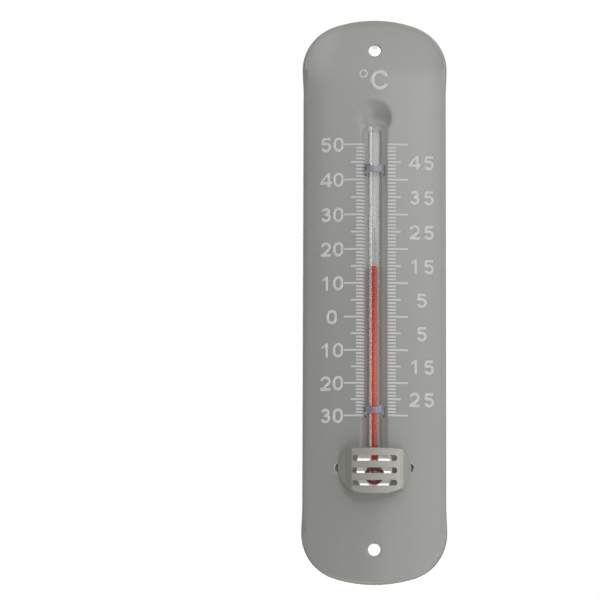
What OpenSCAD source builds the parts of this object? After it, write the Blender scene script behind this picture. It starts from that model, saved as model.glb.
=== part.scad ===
// Wall thermometer: a pressed steel plate that carries a spirit-filled glass tube.
// The origin is midway between the two screw holes, in the plane of the wall.
// X runs to the right, Z up, and the front faces -Y, so a depth in front of the wall is a negative y.

/* [Plate] */
// Height of the plate
plate_h = 300; // [270:1:330]
// Width of the plate
plate_w = 75; // [68:1:85]
// Depth of the plate's crown in front of the wall
plate_depth = 10; // [9:0.5:12]
// Radius of the dome, across the plate and at its ends
dome_r = 150; // [130:5:200]
// Thickness of the sheet
sheet_t = 0.8; // [0.6:0.1:1]
// Radius of the plate's four corners
corner_r = 24.5; // [20:0.5:28]
// Radius of the plate's top and bottom edges
end_r = 66; // [60:1:80]
// How far the long sides draw in between the corners
waist = 0.5; // [0:0.05:0.6]

/* [Screw holes] */
// Distance of a screw hole from the plate's end
screw_inset = 17.5; // [14:0.5:20]
// Radius of a screw hole
screw_hole_r = 3.1; // [2.5:0.1:4]
// Wall of the collar round a screw hole
collar_t = 0.8; // [0.6:0.1:1.2]

/* [Groove and openings] */
// Radius of the groove's round section
groove_r = 9.2; // [8.5:0.1:10.5]
// Depth of the groove below the plate's crown
groove_depth = 3; // [2.5:0.1:3.5]
// Radius of the ball that presses the bowl at the groove's top end
bowl_r = 15; // [13:0.5:18]
// Distance of the bowl's centre above the tube's tip
bowl_over_tip = 2.6; // [1:0.1:5]
// Room between the bulb and the sides of the oval opening behind it
oval_side_room = 3.8; // [3:0.1:5]
// Length of the oval opening's straight sides
oval_straight = 6.1; // [4:0.1:9]
// Distance of the oval opening's middle above the bulb's
oval_over_bulb = 2.9; // [1:0.1:4]

/* [Glass tube] */
// Radius of the stem
stem_r = 3.8; // [3.4:0.1:4.2]
// Distance from the stem's axis to its flat back
flat_back = 1.9; // [1.7:0.1:2.2]
// Height of the stem's closed top above the plate's middle
stem_top_z = 93.7; // [93:0.1:94.5]
// Height of the stem's lower end
stem_foot_z = -80; // [-80.5:0.1:-79.8]
// Rounding of the stem's closed top
tip_round = 1.7; // [1:0.1:2]
// Radius of the neck between the stem and the bulb
neck_r = 2.5; // [2.3:0.1:2.7]
// Radius of the bulb
bulb_r = 5.15; // [4.8:0.05:5.3]
// Height of the bulb's centre
bulb_z = -93.6; // [-94:0.1:-93]
// Thickness of the bulb's glass
bulb_wall = 0.6; // [0.5:0.1:0.8]
// Radius of the bore
bore_r = 1.15; // [0.8:0.05:1.2]
// Solid glass above the bore
tip_solid = 2.6; // [2:0.1:4]
// Width of the opal strip behind the bore
opal_w = 2.1; // [1.8:0.1:3]
// Thickness of the opal strip
opal_t = 0.25; // [0.2:0.05:0.3]

/* [Reading] */
// Height of the scale's zero mark
zero_z = -10.1; // [-10.5:0.1:-9.7]
// Length of one degree at zero
degree_len = 1.777; // [1.74:0.001:1.8]
// Share by which the mean degree above zero grows for each degree of warmth
degree_growth = 0.00068; // [0:0.00001:0.0008]
// Temperature that the column shows at rest
reading = 15; // [-20:1:40]
// Highest mark of the scale
warmest = 50; // [45:1:50]
// Lowest mark of the scale
coldest = -30; // [-30:1:-25]

/* [Tube clips] */
// Thickness of the clip's strap
strap_t = 1.25; // [1:0.05:1.3]
// Height of a clip
clip_h = 4.4; // [4:0.1:5]
// Height of the upper clip's middle
upper_clip_z = 68.4; // [60:0.1:75]
// Height of the lower clip's middle
lower_clip_z = -59.8; // [-62:0.1:-50]
// Reach of the clip's barbs beyond its legs
barb = 0.7; // [0.4:0.1:1]
// Length of a barb
barb_len = 1.7; // [1.2:0.1:2.2]
// Length of the plate's slots below the clip's legs
slot_spare = 0.9; // [0.5:0.1:1.2]

/* [Bulb guard] */
// Thickness of the guard's sheet
guard_t = 0.75; // [0.6:0.05:0.9]
// Room between the bulb and the guard's front panel
guard_room = 1.2; // [0.8:0.1:2]
// Distance of the guard's top edge above the bulb's middle
guard_above = 12.9; // [12:0.1:14]
// Distance of the guard's bottom edge below the bulb's middle
guard_below = 11.4; // [10.5:0.1:13]
// Half width of the guard's front panel
panel_x = 11.6; // [11:0.1:13]
// Height of a guard slot
guard_slot_h = 3; // [2:0.1:4]
// Distance from one guard slot to the next
guard_slot_pitch = 6.5; // [5.5:0.1:7]
// Distance of the middle guard slot above the bulb's middle
slot_over_bulb = 0.9; // [0:0.1:1.5]
// Distance of the tabs above the bulb's middle
tab_over_bulb = 4; // [3:0.1:5]
// Height of a tab
tab_h = 4.5; // [3.5:0.1:6]
// Length of a tab's hook behind the plate
hook_len = 4.2; // [3:0.1:5]
// Room between a tab's corners and the hole that it passes through
tab_room = 0.2; // [0.15:0.05:0.8]
// Distance of a tab outwards from the middle of its hole
tab_off = 0.7; // [0:0.1:0.9]

/* [Print] */
// Thickness of the ink
ink_t = 0.12; // [0.05:0.01:0.2]
// Shift of the whole print to the right
print_shift = 0.7; // [0:0.1:0.8]
// Gap between the clips' slots and the nearest ticks
tick_gap = 0.1; // [0.05:0.05:1]
// Length of a single degree's tick
ones_len = 4.3; // [3:0.1:5]
// Length of a fifth degree's tick
fives_len = 6.8; // [5:0.1:8]
// Length of a tenth degree's tick
tens_len = 10.5; // [8:0.1:12]
// Height of a tick's line
tick_t = 0.9; // [0.5:0.05:1]
// Height of a numeral
numeral_h = 7.84; // [7:0.1:8.2]
// Width of a numeral's strokes
stroke = 1.5; // [1.1:0.1:1.7]
// Gap between the tenth ticks and the left numerals
left_numeral_gap = 0.45; // [0.2:0.05:2]
// Step between the digits of a left numeral
left_digit_step = 6.45; // [6.3:0.05:7.5]
// Gap between the fifth ticks and the right numerals
right_numeral_gap = 4.25; // [3:0.05:5]
// Step between the digits of a right numeral
right_digit_step = 7.4; // [6.4:0.05:8]
// Height of the unit mark's letter
letter_h = 11.1; // [9:0.1:12]
// Width of the unit mark's letter
letter_w = 9.5; // [8:0.1:10]
// Width of the letter's stroke
letter_stroke = 2.2; // [1.6:0.1:2.4]
// Outer radius of the degree ring
ring_r = 2.28; // [2:0.05:2.5]
// Width of the degree ring's stroke
ring_stroke = 0.95; // [0.7:0.05:1]

/* [Hidden] */
$fn = 96;

// Fit between pieces that touch, gap between sheets that lie close, and the extra length of a cut
fit = 0.05;
seat_gap = 0.25;
cut = 1;

// Straight stretch of the dome: beyond it the plate's ends curve back as its sides do
dome_straight = plate_h - plate_w;
dome_y = dome_r - plate_depth;
corner_x = plate_w / 2 - corner_r;
end_z = plate_h / 2 - end_r;
corner_z = end_z + sqrt(pow(end_r - corner_r, 2) - pow(corner_x, 2));
screw_z = plate_h / 2 - screw_inset;
collar_r = screw_hole_r + collar_t;

// Section of the groove, and of the bowl at its end
groove_y = -plate_depth + groove_depth - groove_r;
bowl_y = -plate_depth + groove_depth - bowl_r;
bowl_z = stem_top_z + bowl_over_tip;
bowl_edge_r = sqrt(bowl_r * bowl_r - pow(bowl_r - groove_depth, 2));

// Tube: the corners of its flat back lie in the groove
flat_half = sqrt(stem_r * stem_r - flat_back * flat_back);
flat_y = groove_y + sqrt(groove_r * groove_r - flat_half * flat_half) - 2 * fit;
stem_y = flat_y - flat_back;
neck_z = stem_foot_z - 2;
neck_bore_r = bore_r + 0.15;
bulb_inner_r = bulb_r - bulb_wall;
column_foot_z = stem_foot_z - 0.4;
bore_top_z = stem_top_z - tip_solid;
opal_end = 0.8;

// Oval opening behind the bulb
oval_w = 2 * (bulb_r + oval_side_room);
oval_h = oval_w + oval_straight;
oval_z = bulb_z + oval_over_bulb;

// Clips
strap_in_r = stem_r + fit;
strap_out_r = strap_in_r + strap_t;
slot_end_x = strap_out_r + 2 * fit;
leg_y = groove_y + sqrt(pow(groove_r + sheet_t, 2) - slot_end_x * slot_end_x) + seat_gap;

// Guard: the bends of one side, from the middle outwards, in the middle of the sheet
guard_front_y = stem_y - bulb_r - guard_room - guard_t;
guard_top_z = bulb_z + guard_above;
guard_bottom_z = bulb_z - guard_below;
shoulder_x = panel_x + 3.4;
tab_x = shoulder_x + 3.5;
tab_hole_x = tab_x - tab_off;
tab_z = bulb_z + tab_over_bulb;
tab_hole_r = norm([tab_h / 2, tab_off + guard_t / 2]) + tab_room;
wing_foot = [tab_x - 0.4, dome_front(tab_x) - guard_t / 2 - seat_gap];
guard_slots = 3;
guard_slot_w = 2 * panel_x - 0.3;

// Print
ink_gap = 0.02;
tick_start = slot_end_x + tick_gap + print_shift;
digit_w = 5.5;
left_numeral_x = tick_start + tens_len + left_numeral_gap + (left_digit_step + digit_w) / 2;
right_numeral_x = tick_start + fives_len + right_numeral_gap + (right_digit_step + digit_w) / 2;
unit_z = (bowl_z + bowl_edge_r + screw_z - collar_r) / 2 - 0.65;

// Height of a temperature on the scale
function mark_z(t) = zero_z + degree_len * t * (1 + degree_growth * t);
// Depth of the dome's front and back surfaces at a distance from its middle line
function dome_front(x) = dome_y - sqrt(dome_r * dome_r - x * x);
function dome_back(x) = dome_y - sqrt(pow(dome_r - sheet_t, 2) - x * x);
// Middle of a guard tab's sheet where it lies behind the plate
function hook_at(x) = [x, dome_back(x) + guard_t / 2 + seat_gap];

// Outline of the plate, drawn in by an inset all round
module plate_outline(inset) {
    r = corner_r - inset;
    for (side = [-1, 1]) {
        for (half = [-1, 1]) translate([half * corner_x, side * corner_z]) circle(r = r);
        intersection() {
            translate([0, side * end_z]) circle(r = end_r - inset);
            polygon([
                [0, side * end_z],
                [-2 * corner_x, side * (2 * corner_z - end_z)],
                [2 * corner_x, side * (2 * corner_z - end_z)]
            ]);
        }
    }
    square([plate_w - 2 * (waist + inset), 2 * corner_z], center = true);
    square([2 * corner_x, 2 * corner_z + r], center = true);
}

// Extrudes a shape drawn in X and Z from one depth to another
module from_front(y0, y1) {
    translate([0, y1, 0]) rotate([90, 0, 0]) linear_extrude(y1 - y0) children();
}

// Extrudes a shape drawn in X and Y between two heights
module upright(z0, z1) {
    translate([0, 0, z0]) linear_extrude(z1 - z0) children();
}

// Round bar along Y
module pin(x, z, r, y0, y1) {
    translate([x, y1, z]) rotate([90, 0, 0]) cylinder(r = r, h = y1 - y0);
}

// The dome: a cylinder along the plate, and a ball at each end
module dome(r) {
    half = dome_straight / 2;
    translate([0, dome_y, 0]) {
        intersection() {
            cylinder(r = r, h = dome_straight, center = true, $fn = 240);
            translate([0, -dome_r, 0]) cube([plate_w + 2, 4 * plate_depth, dome_straight], center = true);
        }
        for (side = [0, 1]) mirror([0, 0, side]) intersection() {
            translate([0, 0, half]) sphere(r = r, $fn = 240);
            translate([-plate_w / 2 - 1, -dome_r - 2 * plate_depth, half])
                cube([plate_w + 2, 4 * plate_depth, plate_w / 2 + 1]);
        }
    }
}

// What the groove and its bowl press out of the dome, grown by an offset
module groove(grow) {
    translate([0, groove_y, oval_z]) cylinder(r = groove_r + grow, h = bowl_z - oval_z);
    translate([0, bowl_y, bowl_z]) sphere(r = bowl_r + grow);
}

// A plate-shaped body: the dome, held to an outline, with the groove pressed in
module plate_body(inset, y_back) {
    difference() {
        intersection() {
            from_front(-plate_depth - cut, y_back) plate_outline(inset);
            dome(dome_r - inset);
        }
        groove(inset);
    }
}

// Stadium shape, upright
module stadium(w, h) {
    for (side = [-1, 1]) translate([0, side * (h - w) / 2]) circle(r = w / 2);
    square([w, h - w], center = true);
}

module oval_shape() {
    translate([0, oval_z]) stadium(oval_w, oval_h);
}

// The slots for one clip's legs
module clip_slots(z) {
    for (half = [0, 1]) mirror([half, 0]) translate([strap_in_r, z - clip_h / 2 - slot_spare])
        square([slot_end_x - strap_in_r, clip_h + slot_spare + 2 * fit]);
}

module screw_pair(r, y0, y1) {
    for (side = [-1, 1]) pin(0, side * screw_z, r, y0, y1);
}

module face_plate() {
    color([0.60, 0.60, 0.58]) difference() {
        plate_body(0, 0);
        difference() {
            plate_body(sheet_t, cut);
            screw_pair(collar_r, -plate_depth, cut);
        }
        screw_pair(screw_hole_r, -plate_depth - cut, cut);
        for (side = [-1, 1]) pin(side * tab_hole_x, tab_z, tab_hole_r, -plate_depth - cut, cut);
        from_front(-plate_depth - cut, -1) {
            oval_shape();
            clip_slots(upper_clip_z);
            clip_slots(lower_clip_z);
        }
    }
}

// Section of the stem: round in front, flat behind
module stem_section(r) {
    intersection() {
        translate([0, stem_y]) circle(r = r);
        translate([-r, stem_y - r]) square([2 * r, r + flat_back]);
    }
}

// The stem's round tip as a turned solid
module stem_turned() {
    translate([0, stem_y, 0]) rotate_extrude() {
        translate([0, stem_foot_z]) square([stem_r, stem_top_z - tip_round - stem_foot_z]);
        square([stem_r - tip_round, stem_top_z]);
        translate([stem_r - tip_round, stem_top_z - tip_round]) intersection() {
            circle(r = tip_round);
            square(tip_round);
        }
    }
}

module glass_tube() {
    color([0.80, 0.84, 0.82, 0.45]) difference() {
        union() {
            intersection() {
                stem_turned();
                upright(stem_foot_z - cut, stem_top_z + cut) stem_section(stem_r + cut);
            }
            translate([0, stem_y, neck_z]) cylinder(r1 = neck_r, r2 = neck_r + 0.6, h = stem_foot_z - neck_z);
            translate([0, stem_y, bulb_z]) cylinder(r = neck_r, h = neck_z - bulb_z);
            translate([0, stem_y, bulb_z]) sphere(r = bulb_r);
        }
        translate([0, stem_y, bulb_z]) sphere(r = bulb_inner_r);
        translate([0, stem_y, bulb_z]) cylinder(r = neck_bore_r, h = column_foot_z - bulb_z);
        translate([0, stem_y, column_foot_z - fit]) cylinder(r = bore_r, h = bore_top_z - column_foot_z + fit);
    }
}

module opal_strip() {
    color([0.86, 0.87, 0.82]) translate([-opal_w / 2, flat_y + ink_gap, stem_foot_z + opal_end])
        cube([opal_w, opal_t, stem_top_z - tip_round - opal_end - stem_foot_z]);
}

module bulb_spirit() {
    color([0.55, 0.06, 0.06]) translate([0, stem_y, bulb_z]) {
        sphere(r = bulb_inner_r - fit);
        cylinder(r = neck_bore_r - fit, h = column_foot_z - bulb_z - fit);
    }
}

module spirit_column() {
    color([0.72, 0.26, 0.18]) translate([0, stem_y, column_foot_z])
        cylinder(r = bore_r - fit, h = mark_z(reading) - column_foot_z);
}

// One leg of a clip with its barb behind the plate, on the +X side
module clip_leg() {
    x0 = strap_in_r + fit;
    translate([x0, stem_y]) square([strap_out_r - x0, leg_y + barb_len - stem_y]);
    polygon([
        [strap_out_r - 0.1, leg_y],
        [strap_out_r + barb, leg_y],
        [strap_out_r, leg_y + barb_len],
        [strap_out_r - 0.1, leg_y + barb_len]
    ]);
}

module tube_clip(z) {
    color([0.70, 0.68, 0.78, 0.8]) upright(z - clip_h / 2, z + clip_h / 2) {
        intersection() {
            translate([0, stem_y]) difference() {
                circle(r = strap_out_r);
                circle(r = strap_in_r);
            }
            translate([-strap_out_r, stem_y - strap_out_r]) square([2 * strap_out_r, strap_out_r]);
        }
        for (half = [0, 1]) mirror([half, 0]) clip_leg();
    }
}

module upper_tube_clip() {
    tube_clip(upper_clip_z);
}

module lower_tube_clip() {
    tube_clip(lower_clip_z);
}

// A straight piece of the guard's sheet in plan, with round ends that form the bends
module sheet_run(a, b) {
    run = b - a;
    len = norm(run);
    translate(a) rotate(atan2(run[1], run[0])) translate([0, -guard_t / 2]) square([len, guard_t]);
    translate(b) circle(r = guard_t / 2);
}

// Plan of the guard's front panel, shoulder and wing on the +X side
module guard_plan() {
    middle = [0, guard_front_y + guard_t / 2];
    bend_1 = middle + [panel_x, 0.42];
    bend_2 = middle + [shoulder_x, 2.7];
    sheet_run(middle, bend_1);
    sheet_run(bend_1, bend_2);
    sheet_run(bend_2, wing_foot);
}

// Plan of the tab that passes through the plate and hooks behind it
module tab_plan() {
    sheet_run(wing_foot, hook_at(tab_x));
    sheet_run(hook_at(tab_x), hook_at(tab_x - hook_len));
}

// Front outline of the guard on the +X side
module guard_outline() {
    foot = tab_h / 2 + 0.5;
    polygon([
        [-cut, guard_top_z],
        [panel_x, guard_top_z],
        [shoulder_x, guard_top_z + 0.3],
        [tab_x - 0.2, tab_z + foot],
        [tab_x + cut, tab_z + foot - 0.3],
        [tab_x + cut, tab_z - foot + 0.3],
        [tab_x - 0.2, tab_z - foot],
        [shoulder_x, guard_bottom_z + 4],
        [panel_x, guard_bottom_z + 1.6],
        [4, guard_bottom_z + 0.1],
        [-cut, guard_bottom_z]
    ]);
}

module guard_slot(z) {
    translate([0, z]) rotate(90) stadium(guard_slot_h, guard_slot_w);
}

module bulb_guard() {
    slot_z = bulb_z + slot_over_bulb;
    color([0.62, 0.62, 0.58]) {
        difference() {
            for (half = [0, 1]) mirror([half, 0, 0]) intersection() {
                upright(guard_bottom_z - cut, guard_top_z + cut) guard_plan();
                from_front(guard_front_y - cut, 0) guard_outline();
            }
            for (i = [0:guard_slots - 1])
                from_front(guard_front_y - cut, guard_front_y + 4)
                    guard_slot(slot_z + (i - (guard_slots - 1) / 2) * guard_slot_pitch);
        }
        for (half = [0, 1]) mirror([half, 0, 0]) upright(tab_z - tab_h / 2, tab_z + tab_h / 2) tab_plan();
    }
}

// The ink lies on the plate's front and follows the groove's edge
module inked() {
    intersection() {
        from_front(-plate_depth - cut, 0) children();
        difference() {
            dome(dome_r + ink_t + ink_gap);
            groove(-ink_t - ink_gap);
            difference() {
                dome(dome_r + ink_gap);
                groove(-ink_gap);
            }
        }
    }
}

// Length of a degree's tick
function tick_len(t) = t % 10 == 0 ? tens_len : t % 5 == 0 ? fives_len : ones_len;

// Ticks to the right of the print's middle line
module ticks() {
    for (t = [coldest:warmest])
        translate([tick_start, mark_z(t) - tick_t / 2]) square([tick_len(t), tick_t]);
}

module left_scale_ticks() {
    color([0.80, 0.80, 0.82]) inked() translate([print_shift, 0]) mirror([1, 0]) ticks();
}

module right_scale_ticks() {
    color([0.80, 0.80, 0.82]) inked() translate([print_shift, 0]) ticks();
}

// Part of a ring of the numerals' stroke, from one angle to another
module arc(r, a0, a1) {
    reach = 3 * r;
    intersection() {
        difference() {
            circle(r = r);
            circle(r = r - stroke);
        }
        polygon(concat([[0, 0]], [for (i = [0:4]) let (a = a0 + (a1 - a0) * i / 4) reach * [cos(a), sin(a)]]));
    }
}

// Digits, drawn round the middle of their height
module digit_0() {
    difference() {
        stadium(digit_w, numeral_h);
        stadium(digit_w - 2 * stroke - 0.3, numeral_h - 2 * stroke + 0.1);
    }
}

module digit_1() {
    half = numeral_h / 2;
    polygon([
        [1.4, -half], [1.4, half], [0.3, half], [-1.8, half - 1.5],
        [-1.8, half - 3], [1.4 - stroke, half - 2], [1.4 - stroke, -half]
    ]);
}

module digit_2() {
    half = numeral_h / 2;
    r = 2.8;
    a = -42;
    lap = 0.05;
    top = [0, half - r];
    foot = stroke - half - 0.1;
    translate(top) arc(r, a - 6, 172);
    polygon([
        top + (r - stroke + lap) * [cos(a), sin(a)],
        top + (r - lap) * [cos(a), sin(a)],
        [0.2, foot - lap],
        [0.2, foot - 0.6],
        [lap - r, foot - 0.6],
        [lap - r, foot - 0.3]
    ]);
    translate([-r, -half]) square([2 * r, foot + half]);
}

module digit_3() {
    half = numeral_h / 2;
    upper = 2.35;
    lower = 2.65;
    translate([0, half - upper]) arc(upper, -85, 165);
    translate([0, lower - half]) arc(lower, -165, 85);
    translate([-0.9, half - 2 * upper + 0.1]) square([1.3, stroke - 0.1]);
}

module digit_4() {
    half = numeral_h / 2;
    bar = 1.6 - half;
    bar_top = bar + stroke - 0.1;
    stem = 2.3 - stroke;
    difference() {
        polygon([
            [0.7, half], [2.3, half], [2.3, bar_top], [3.2, bar_top], [3.2, bar], [2.3, bar],
            [2.3, -half], [stem, -half], [stem, bar], [-3.2, bar], [-3.2, bar_top - 0.1]
        ]);
        polygon([[stem, half - 2.1], [stem, bar_top], [-1.4, bar_top]]);
    }
}

module digit_5() {
    half = numeral_h / 2;
    r = 2.75;
    bar = half - stroke + 0.1;
    translate([0, r - half]) arc(r, -162, 138);
    polygon([
        [-2.45, 0], [-1.95, half], [2.4, half], [2.4, bar], [-0.75, bar], [-1, 1.1], [-1.2, 0]
    ]);
}

module digit(d) {
    if (d == 0) digit_0();
    if (d == 1) digit_1();
    if (d == 2) digit_2();
    if (d == 3) digit_3();
    if (d == 4) digit_4();
    if (d == 5) digit_5();
}

// A number from 0 to 59, centred, with a step between its digits
module number(n, step) {
    if (n < 10) digit(n);
    else {
        translate([-step / 2, 0]) digit(floor(n / 10));
        translate([step / 2, 0]) digit(n % 10);
    }
}

module left_numerals() {
    color([0.80, 0.80, 0.82]) inked()
        for (t = [ceil(coldest / 10) * 10:10:warmest])
            translate([print_shift - left_numeral_x, mark_z(t)]) number(abs(t), left_digit_step);
}

module right_numerals() {
    color([0.80, 0.80, 0.82]) inked()
        for (t = [ceil(coldest / 10) * 10 + 5:10:warmest])
            translate([print_shift + right_numeral_x, mark_z(t)]) number(abs(t), right_digit_step);
}

module unit_mark() {
    letter_x = print_shift + 1.7;
    color([0.80, 0.80, 0.82]) inked() {
        translate([letter_x, unit_z]) difference() {
            stadium(letter_w, letter_h);
            stadium(letter_w - 2 * letter_stroke, letter_h - 2 * letter_stroke);
            translate([letter_w / 4, -letter_h / 6]) square([letter_w, letter_h / 3]);
        }
        translate([letter_x - letter_w / 2 - ring_r - 1.3, unit_z + letter_h / 2 - ring_r]) difference() {
            circle(r = ring_r);
            circle(r = ring_r - ring_stroke);
        }
    }
}

face_plate();
glass_tube();
opal_strip();
bulb_spirit();
spirit_column();
bulb_guard();
upper_tube_clip();
lower_tube_clip();
left_scale_ticks();
right_scale_ticks();
left_numerals();
right_numerals();
unit_mark();
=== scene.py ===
"""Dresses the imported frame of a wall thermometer: a pressed steel plate that carries a red spirit tube.

Everything is in metres in the frame's own axes: X to the right, Z up, and the front faces -Y.
"""

import math

import bmesh
import bpy
import numpy as np
from bpy.props import FloatProperty, FloatVectorProperty, IntProperty, PointerProperty
from mathutils import Matrix, Vector
from mathutils.geometry import delaunay_2d_cdt


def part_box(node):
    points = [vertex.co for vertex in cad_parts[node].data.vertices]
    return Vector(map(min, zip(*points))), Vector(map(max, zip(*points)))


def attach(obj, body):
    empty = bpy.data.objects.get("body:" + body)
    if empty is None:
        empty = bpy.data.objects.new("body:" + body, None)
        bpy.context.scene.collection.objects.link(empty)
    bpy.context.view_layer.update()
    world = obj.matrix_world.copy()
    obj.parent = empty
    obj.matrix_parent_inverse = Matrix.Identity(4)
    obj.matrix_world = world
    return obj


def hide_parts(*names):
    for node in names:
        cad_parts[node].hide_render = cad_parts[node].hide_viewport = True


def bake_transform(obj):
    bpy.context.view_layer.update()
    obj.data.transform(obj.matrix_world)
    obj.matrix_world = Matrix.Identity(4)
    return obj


bl_info = {
    "name": "Wall Thermometer",
    "version": (1, 0, 0),
    "blender": (4, 5, 0),
    "location": "3D View > Sidebar > Thermometer",
    "description": "Builds the painted plate, glass tube, guard and print of a wall thermometer",
    "category": "Add Mesh",
}

MM = 0.001

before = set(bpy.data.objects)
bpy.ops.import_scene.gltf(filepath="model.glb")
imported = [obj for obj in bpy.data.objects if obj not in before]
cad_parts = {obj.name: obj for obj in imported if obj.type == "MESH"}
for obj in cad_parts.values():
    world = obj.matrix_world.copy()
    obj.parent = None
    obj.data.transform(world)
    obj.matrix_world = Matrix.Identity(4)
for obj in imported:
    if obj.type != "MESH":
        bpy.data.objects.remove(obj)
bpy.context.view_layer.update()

PLATE_LOW, PLATE_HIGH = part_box("face_plate")
TUBE_LOW, TUBE_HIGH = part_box("glass_tube")
SPIRIT_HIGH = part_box("bulb_spirit")[1]
COLUMN_LOW, COLUMN_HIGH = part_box("spirit_column")
STRIP_LOW, STRIP_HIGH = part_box("opal_strip")
GUARD_LOW, GUARD_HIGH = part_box("bulb_guard")
TICKS_LOW, TICKS_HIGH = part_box("right_scale_ticks")

TUBE_CLIPS = ("upper_tube_clip", "lower_tube_clip")

BULB_R = TUBE_HIGH.x
BULB_Z = TUBE_LOW.z + BULB_R
STEM_Y = (COLUMN_LOW.y + COLUMN_HIGH.y) / 2


# Properties

def length(name, default, description):
    """A length in metres."""
    return FloatProperty(name=name, description=description, default=default, unit="LENGTH", precision=5)


def paint(name, default, description):
    """A colour."""
    return FloatVectorProperty(
        name=name, description=description, default=default, size=3, min=0.0, max=1.0, subtype="COLOR"
    )


def angle(name, degrees, description):
    """An angle, whose default is given in degrees."""
    return FloatProperty(
        name=name, description=description, default=math.radians(degrees), subtype="ANGLE"
    )


def share(name, default, description):
    """A number without a unit."""
    return FloatProperty(name=name, description=description, default=default)


class PlateSettings(bpy.types.PropertyGroup):
    """Sizes and paint of the pressed plate."""

    width: length("Width", PLATE_HIGH.x - PLATE_LOW.x, "Width of the plate")
    height: length("Height", PLATE_HIGH.z - PLATE_LOW.z, "Height of the plate")
    depth: length("Depth", -PLATE_LOW.y, "Depth of the crown in front of the wall")
    dome_r: length("Dome radius", 150 * MM, "Radius of the dome, across the plate and at its ends")
    sheet: length("Sheet thickness", 0.8 * MM, "Thickness of the steel sheet")
    corner_r: length("Corner radius", 24.5 * MM, "Radius of the plate's four corners")
    end_r: length("End radius", 66 * MM, "Radius of the top and bottom edges")
    waist: length("Waist", 0.5 * MM, "How far the long sides draw in between the corners")
    waist_run: length("Waist run", 15 * MM, "Length over which a side draws in")
    rim_round: length("Rim rounding", 1.9 * MM, "Radius of the bend from the dome into its turned-back wall")
    crease: length("Groove rounding", 0.4 * MM, "How far the edge of the pressed groove is rounded")
    edge_round: length("Edge rounding", 0.12 * MM, "Rounding of cut edges under the paint")
    groove_r: length("Groove radius", 9.2 * MM, "Radius of the groove's round section")
    groove_depth: length("Groove depth", 3 * MM, "Depth of the groove below the crown")
    bowl_r: length("Bowl radius", 15 * MM, "Radius of the ball that presses the bowl at the groove's top")
    bowl_z: length("Bowl height", TUBE_HIGH.z + 1.9 * MM, "Height of the bowl's centre")
    oval_w: length("Oval width", 2 * (BULB_R + 3.8 * MM), "Width of the opening behind the bulb")
    oval_straight: length("Oval straight", 6.1 * MM, "Length of the opening's straight sides")
    oval_z: length("Oval height", BULB_Z + 2.9 * MM, "Height of the opening's middle")
    screw_inset: length("Screw inset", 17.5 * MM, "Distance of a screw hole from the plate's end")
    screw_r: length("Screw hole radius", 3.1 * MM, "Radius of a screw hole")
    screw_round: length("Collar rounding", 0.7 * MM, "Bend between the plate and a screw hole's collar")
    tab_hole_x: length("Tab hole place", 17.8 * MM, "Distance of the guard's tab holes from the middle")
    tab_hole_z: length("Tab hole height", BULB_Z + 4 * MM, "Height of the guard's tab holes")
    tab_hole_r: length("Tab hole radius", 2.69 * MM, "Radius of the guard's tab holes")
    colour: paint("Paint", (0.24, 0.24, 0.226), "Grey stove enamel")
    grid: length("Grid", 2.4 * MM, "Spacing of the mesh on the open dome")

    @property
    def dome_y(self):
        return self.dome_r - self.depth

    @property
    def straight(self):
        return (self.height - self.width) / 2

    @property
    def groove_y(self):
        return self.groove_depth - self.depth - self.groove_r

    @property
    def bowl_y(self):
        return self.groove_depth - self.depth - self.bowl_r

    @property
    def groove_edge(self):
        return math.sqrt(self.groove_r ** 2 - (self.groove_r - self.groove_depth) ** 2)

    @property
    def bowl_edge(self):
        return math.sqrt(self.bowl_r ** 2 - (self.bowl_r - self.groove_depth) ** 2)

    @property
    def corner_x(self):
        return self.width / 2 - self.corner_r

    @property
    def end_z(self):
        return self.height / 2 - self.end_r

    @property
    def corner_z(self):
        return self.end_z + math.sqrt((self.end_r - self.corner_r) ** 2 - self.corner_x ** 2)

    @property
    def screw_z(self):
        return self.height / 2 - self.screw_inset


class TubeSettings(bpy.types.PropertyGroup):
    """Sizes and colours of the glass tube and what is in it."""

    stem_r: length("Stem radius", 3.8 * MM, "Radius of the stem's round front")
    flat_back: length("Flat back", 1.9 * MM, "Distance of the flat back behind the stem's axis")
    flat_round: length("Flat's corners", 0.5 * MM, "Rounding between the round front and the flat back")
    top_z: length("Top", TUBE_HIGH.z - 2.2 * MM, "Height of the closed top")
    tip_round: length("Tip rounding", 1.7 * MM, "Rounding of the closed top")
    foot_z: length("Foot", COLUMN_LOW.z + 0.4 * MM, "Height where the stem narrows to its neck")
    shoulder: length("Shoulder", 2 * MM, "Length over which the stem narrows")
    neck_r: length("Neck radius", 2.5 * MM, "Radius of the neck above the bulb")
    bulb_r: length("Bulb radius", BULB_R, "Radius of the bulb")
    bulb_z: length("Bulb height", BULB_Z, "Height of the bulb's centre")
    spirit_r: length("Spirit radius", SPIRIT_HIGH.x, "Radius of the spirit in the bulb")
    column_r: length("Column radius", COLUMN_HIGH.x, "Radius of the spirit column")
    strip_end: length("Strip end", 2.6 * MM, "Distance from the strip's full height to its visible end")
    column_end: length("Column end", 0.5 * MM, "Distance from the column's full height to its visible top")
    meniscus: length("Meniscus", 0.35 * MM, "Depth of the dip in the column's top")
    spirit: paint("Spirit", (0.47, 0.03, 0.004), "Red dyed spirit in the bore")
    deep_spirit: paint("Deep spirit", (0.20, 0.003, 0.008), "The same spirit in the bulb")
    opal: paint("Opal strip", (0.212, 0.214, 0.194), "Opal enamel behind the bore")


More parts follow.
